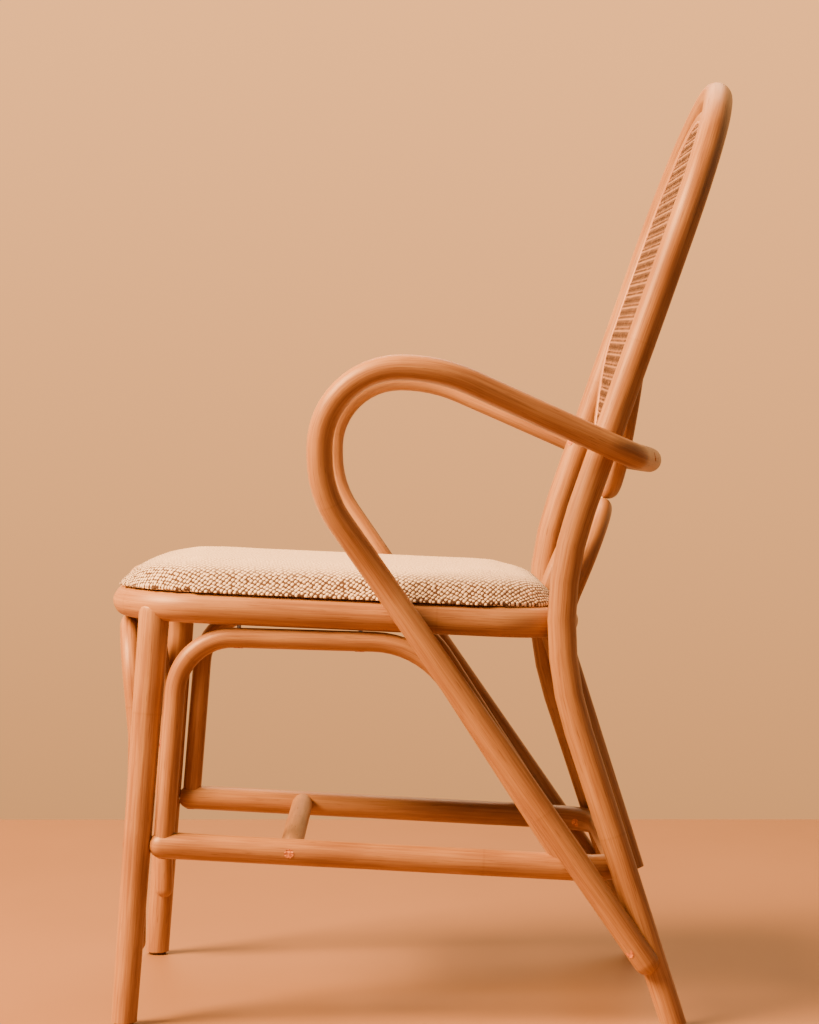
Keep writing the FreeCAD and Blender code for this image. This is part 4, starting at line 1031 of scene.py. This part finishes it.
class CHAIR_OT_padded_seat(bpy.types.Operator):
    """Fills and covers the seat with boucle"""

    bl_idname = "chair.padded_seat"
    bl_label = "Padded seat"

    def slab(self, size):
        """Cuts the pad: a slab with round corners, on a fine even grid."""
        piece = start_piece("boucle_cushion", bpy.ops.mesh.primitive_cube_add)
        bpy.ops.transform.resize(value=(2 * PAD_HALF[0], 2 * PAD_HALF[1], PAD_HIGH))
        bpy.ops.transform.translate(value=(0, PAD_CENTRE.y, PAD_BASE + PAD_HIGH / 2))
        self.choose_edges(piece, lambda a, b: abs(a.z - b.z) > PAD_HIGH / 2)
        bpy.ops.mesh.bevel(offset=PAD_CORNER, segments=12, affect="EDGES")
        bpy.ops.object.mode_set(mode="OBJECT")
        remesh = piece.modifiers.new("grid", "REMESH")
        remesh.mode = "VOXEL"
        remesh.voxel_size = size.voxel
        finish_modifiers(piece)
        return piece

    def roll_edge(self, piece):
        """Lays the slab's walls and border over the rounded edge, and bows its front."""
        places = read_places(piece.data)
        depth, inward = pad_border(places[:, :2])
        rise = np.clip(places[:, 2] - PAD_BASE, 0, PAD_HIGH)
        edge, cloth = pad_profile()
        travel = np.clip((rise + np.maximum(depth, 0)) / (PAD_HIGH + PAD_ROLL), 0, 1) * cloth[-1]
        rolled = rise > PAD_SOLE
        inset = np.where(rolled, np.interp(travel, cloth, edge), depth)
        inset = np.where(depth > PAD_ROLL, depth, inset)
        places[:, :2] += inward * (inset - depth)[:, None]
        places[:, 2] = PAD_BASE + np.where(rolled, pad_height(inset), 0)
        front = np.clip((PAD_CENTRE.y - places[:, 1]) / PAD_HALF[1], 0, 1)
        across = np.clip(np.abs(places[:, 0]) / PAD_HALF[0], 0, 1)
        places[:, 1] -= PAD_BOW * (1 - across ** 2) * front ** 2
        piece.data.vertices.foreach_set("co", places.ravel())

    def choose_edges(self, piece, wanted):
        """Selects the edges whose two ends fit."""
        bpy.ops.mesh.select_mode(type="EDGE")
        bpy.ops.object.mode_set(mode="OBJECT")
        mesh = piece.data
        clear_choice(mesh)
        for edge in mesh.edges:
            edge.select = wanted(*(mesh.vertices[i].co for i in edge.vertices))
        bpy.ops.object.mode_set(mode="EDIT")

    def inflate(self, piece, size):
        """Fills the pad with air, its base held, and keeps each point near its place."""
        before = read_places(piece.data)
        held = piece.vertex_groups.new(name="held")
        base = before[:, 2].min()
        held.add([i for i, z in enumerate(before[:, 2]) if z < base + size.voxel * 1.2], 1.0, "REPLACE")
        cloth = piece.modifiers.new("cloth", "CLOTH")
        for key, value in CLOTH_SETTINGS.items():
            setattr(cloth.settings, key, value)
        cloth.settings.uniform_pressure_force = size.pressure
        cloth.settings.effector_weights.gravity = 0.0
        cloth.point_cache.frame_start = 1
        cloth.point_cache.frame_end = CLOTH_FRAMES
        for moment in range(1, CLOTH_FRAMES + 1):
            bpy.context.scene.frame_set(moment)
        finish_modifiers(piece)
        bpy.context.scene.frame_set(1)
        after = read_places(piece.data)
        moved = after - before
        far = np.linalg.norm(moved, axis=1, keepdims=True)
        after = before + moved * (size.swell * np.tanh(far / size.swell) / np.maximum(far, 1e-9))
        piece.data.vertices.foreach_set("co", after.ravel())
        piece.vertex_groups.clear()

    def lay_cloth(self, piece, size):
        """Stores where each point lies on the cloth, whose rows run on down the sides, and how low it is,
        which deepens the painted shade in the gaps.
        """
        mesh = piece.data
        places = read_places(mesh)
        depth, inward = pad_border(places[:, :2])
        edge, cloth = pad_profile()
        depth = np.clip(depth, 0, PAD_ROLL)
        slack = (cloth[-1] - np.interp(depth, edge, cloth)) - (PAD_ROLL - depth)
        flat = places[:, :2] - inward * slack[:, None]
        cosine, sine = math.cos(size.row_turn), math.sin(size.row_turn)
        weave = np.zeros((len(places), 3))
        weave[:, 0] = flat @ np.array([-sine, cosine]) / size.nub
        weave[:, 1] = flat @ np.array([cosine, sine]) / size.row
        store(mesh, "weave", weave)
        # How low each point is, which sets how deep the painted shade in the boucle's gaps is.
        store(mesh, "flank", np.clip(1 - (places[:, 2] - PAD_BASE) / PAD_HIGH, 0, 1))

    def execute(self, context):
        size = context.scene.seat
        piece = self.slab(size)
        self.roll_edge(piece)
        self.inflate(piece, size)
        for level in range(2):
            finer = piece.modifiers.new("finer", "SUBSURF")
            finer.levels = finer.render_levels = 1
            finish_modifiers(piece)
        self.lay_cloth(piece, size)
        piece.data.transform(SEAT_LAY)
        dress(piece, ["seat_cover", "seat_foam"], boucle_finish(), 80)
        return {"FINISHED"}


class CHAIR_OT_dust_cover(bpy.types.Operator):
    """Stretches the thin dust cloth under the seat"""

    bl_idname = "chair.dust_cover"
    bl_label = "Dust cover"

    def execute(self, context):
        piece = start_piece("dust_cloth", bpy.ops.mesh.primitive_plane_add)
        bpy.ops.transform.resize(value=(*DUST_SIDES, 1))
        bpy.ops.mesh.bevel(offset=DUST_CORNER, segments=8, affect="VERTICES")
        bpy.ops.mesh.select_all(action="SELECT")
        for width in DUST_RINGS:
            bpy.ops.mesh.inset(thickness=width, depth=0)
        bpy.ops.object.mode_set(mode="OBJECT")
        for vert in piece.data.vertices:
            x, y = 2 * vert.co.x / DUST_SIDES[0], 2 * vert.co.y / DUST_SIDES[1]
            vert.co.z = DUST_RISE - DUST_SAG * max(0.0, 1 - x ** 2) * max(0.0, 1 - y ** 2)
        thicken(piece, DUST_THICKNESS)
        piece.data.transform(SEAT_LAY)
        finish = plain_finish("dust_cloth", tone(74, 70, 66), tone(52, 48, 46), 900.0, 0.9)
        dress(piece, ["dust_cover"], finish)
        return {"FINISHED"}


class CHAIR_OT_hidden_parts(bpy.types.Operator):
    """Gives the board, screws, nails and glides their finishes"""

    bl_idname = "chair.hidden_parts"
    bl_label = "Board, screws and glides"

    def execute(self, context):
        steel = plain_finish("zinc_steel", tone(200, 200, 196), tone(160, 160, 158), 700.0, 0.35, 1.0)
        nylon = plain_finish("nylon_glide", tone(108, 78, 56), tone(84, 58, 40), 500.0, 0.5)
        board = wood_finish("plywood", tone(226, 196, 150), tone(188, 148, 102), 180.0)
        for name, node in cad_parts.items():
            if name.endswith("screws") or name == "glide_nails":
                wear(node, steel)
        wear(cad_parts["foot_glides"], nylon)
        wear(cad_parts["seat_board"], board)
        return {"FINISHED"}


def wear(node, finish):
    """Gives a CAD node one finish in place of its plain material."""
    for slot in node.material_slots:
        slot.material = finish


# The stage: the floor's slab, the surround's bright side and its bands, and the camera in metres and degrees
FLOOR_THICKNESS = 0.03
FLOOR_EASE = 0.004
BRIGHT_SIDE = (-0.97, -0.10, 0.20)
BRIGHT_BAND = (0.25, 0.90)
RISE_BAND = (-0.13, 0.15)
RISE_SHARES = (0.62, 1.15)
CAMERA_PLACE = (3.0, -0.02407, 0.560)
CAMERA_PITCH = 1.403
CAMERA_TURN = 0.185
CAMERA_LENS = 103.36


class CHAIR_OT_stage(bpy.types.Operator):
    """Lays the floor, hangs the softboxes and sets up the camera"""

    bl_idname = "chair.stage"
    bl_label = "Floor, lights and camera"

    def floor(self, settings):
        """Makes the pale floor, a wide slab with an eased edge."""
        slab = start_piece("floor", bpy.ops.mesh.primitive_cube_add)
        bpy.ops.transform.resize(value=(2 * settings.reach, 2 * settings.reach, FLOOR_THICKNESS))
        bpy.ops.transform.translate(value=(0, 0, -FLOOR_THICKNESS / 2))
        bpy.ops.mesh.bevel(offset=FLOOR_EASE, segments=3, affect="EDGES")
        bpy.ops.object.mode_set(mode="OBJECT")
        finish = Finish("pale_floor", specular_ior_level=0.3)
        cloud = finish.noise(finish.place() * (0.5, 1.0, 1.0), 3.0, 3.0)
        base = finish.mixed(cloud.band(0.3, 0.7), settings.floor, tuple(c * 0.93 for c in settings.floor))
        finish.give(base_color=base, roughness=0.5 + (cloud - 0.5) * 0.1)
        slab.data.materials.append(finish.material)

    def softbox(self, name, place, aim, size, power, tint):
        """Hangs one square softbox aimed at a place."""
        lamp = bpy.data.lights.new(name, "AREA")
        lamp.shape = "SQUARE"
        lamp.size = size
        lamp.energy = power
        lamp.color = tint
        holder = add_object(name, lamp)
        holder.location = place
        holder.rotation_euler = (Vector(aim) - Vector(place)).to_track_quat("-Z", "Y").to_euler()

    def surround(self, scene, settings):
        """Makes the surround: bright behind the chair and above, dimmer low down and on the other sides."""
        world = bpy.data.worlds.new("surround")
        nodes = Nodes(world)
        back = nodes.tree.nodes["Background"]
        ahead = nodes.node("ShaderNodeTexCoord", None, None, "Generated")
        ways = {0: ahead, 1: BRIGHT_SIDE}
        facing = nodes.node("ShaderNodeVectorMath", {"operation": "DOT_PRODUCT"}, ways, "Value")
        tint = nodes.mixed(facing.band(*BRIGHT_BAND), settings.shade, settings.wall)
        rise = nodes.node("ShaderNodeSeparateXYZ", None, {0: ahead}, "Z")
        shares = [settings.surround * share for share in RISE_SHARES]
        nodes.feed(back.inputs["Color"], tint)
        nodes.feed(back.inputs["Strength"], rise.band(*RISE_BAND, *shares, "LINEAR"))
        scene.world = world

    def execute(self, context):
        settings = context.scene.stage
        self.floor(settings)
        warm = tone(255, 186, 118)
        mild = tone(255, 214, 176)
        self.softbox("key_light", (1.2, -2.6, 2.9), (0, 0, 0.5), 1.8, settings.key, warm)
        self.softbox("fill_light", (2.4, 0.8, 2.2), (0, 0, 0.5), 1.6, settings.fill, mild)
        self.softbox("rear_light", (-2.2, 0.2, 2.6), (0, 0.4, 0.0), 1.8, settings.rear, mild)
        self.surround(context.scene, settings)
        view = bpy.data.cameras.new("camera")
        view.lens = CAMERA_LENS
        view.sensor_width = 36.0
        camera = add_object("camera", view)
        camera.location = CAMERA_PLACE
        pitch, turn = math.radians(CAMERA_PITCH), math.radians(CAMERA_TURN)
        level = math.cos(pitch)
        ahead = Vector((-level * math.cos(turn), level * math.sin(turn), -math.sin(pitch)))
        camera.rotation_euler = ahead.to_track_quat("-Z", "Y").to_euler()
        context.scene.camera = camera
        return {"FINISHED"}


class CHAIR_PT_panel(bpy.types.Panel):
    """Lists the chair's steps in the sidebar"""

    bl_idname = "CHAIR_PT_panel"
    bl_label = "Rattan armchair"
    bl_space_type = "VIEW_3D"
    bl_region_type = "UI"
    bl_category = "Rattan armchair"

    def draw(self, context):
        for step in STEPS:
            self.layout.operator(step.bl_idname)
        for group in (context.scene.rattan, context.scene.cane, context.scene.seat, context.scene.stage):
            box = self.layout.box()
            for name in group.__annotations__:
                box.prop(group, name)


GROUPS = {"rattan": RattanSettings, "cane": CaneSettings, "seat": SeatSettings, "stage": StageSettings}
STEPS = [
    CHAIR_OT_stage,
    CHAIR_OT_frame_poles,
    CHAIR_OT_front_legs,
    CHAIR_OT_screw_plugs,
    CHAIR_OT_cane_back,
    CHAIR_OT_padded_seat,
    CHAIR_OT_dust_cover,
    CHAIR_OT_hidden_parts,
]


def register():
    for name, group in GROUPS.items():
        bpy.utils.register_class(group)
        setattr(bpy.types.Scene, name, PointerProperty(type=group))
    for step in STEPS:
        bpy.utils.register_class(step)
    bpy.utils.register_class(CHAIR_PT_panel)


def unregister():
    bpy.utils.unregister_class(CHAIR_PT_panel)
    for step in reversed(STEPS):
        bpy.utils.unregister_class(step)
    for name, group in GROUPS.items():
        delattr(bpy.types.Scene, name)
        bpy.utils.unregister_class(group)


def main():
    """Builds the chair."""
    register()
    bpy.ops.chair.stage()
    bpy.ops.chair.frame_poles()
    bpy.ops.chair.front_legs()
    bpy.ops.chair.screw_plugs()
    bpy.ops.chair.cane_back()
    bpy.ops.chair.padded_seat()
    bpy.ops.chair.dust_cover()
    bpy.ops.chair.hidden_parts()


if __name__ == "__main__":
    main()
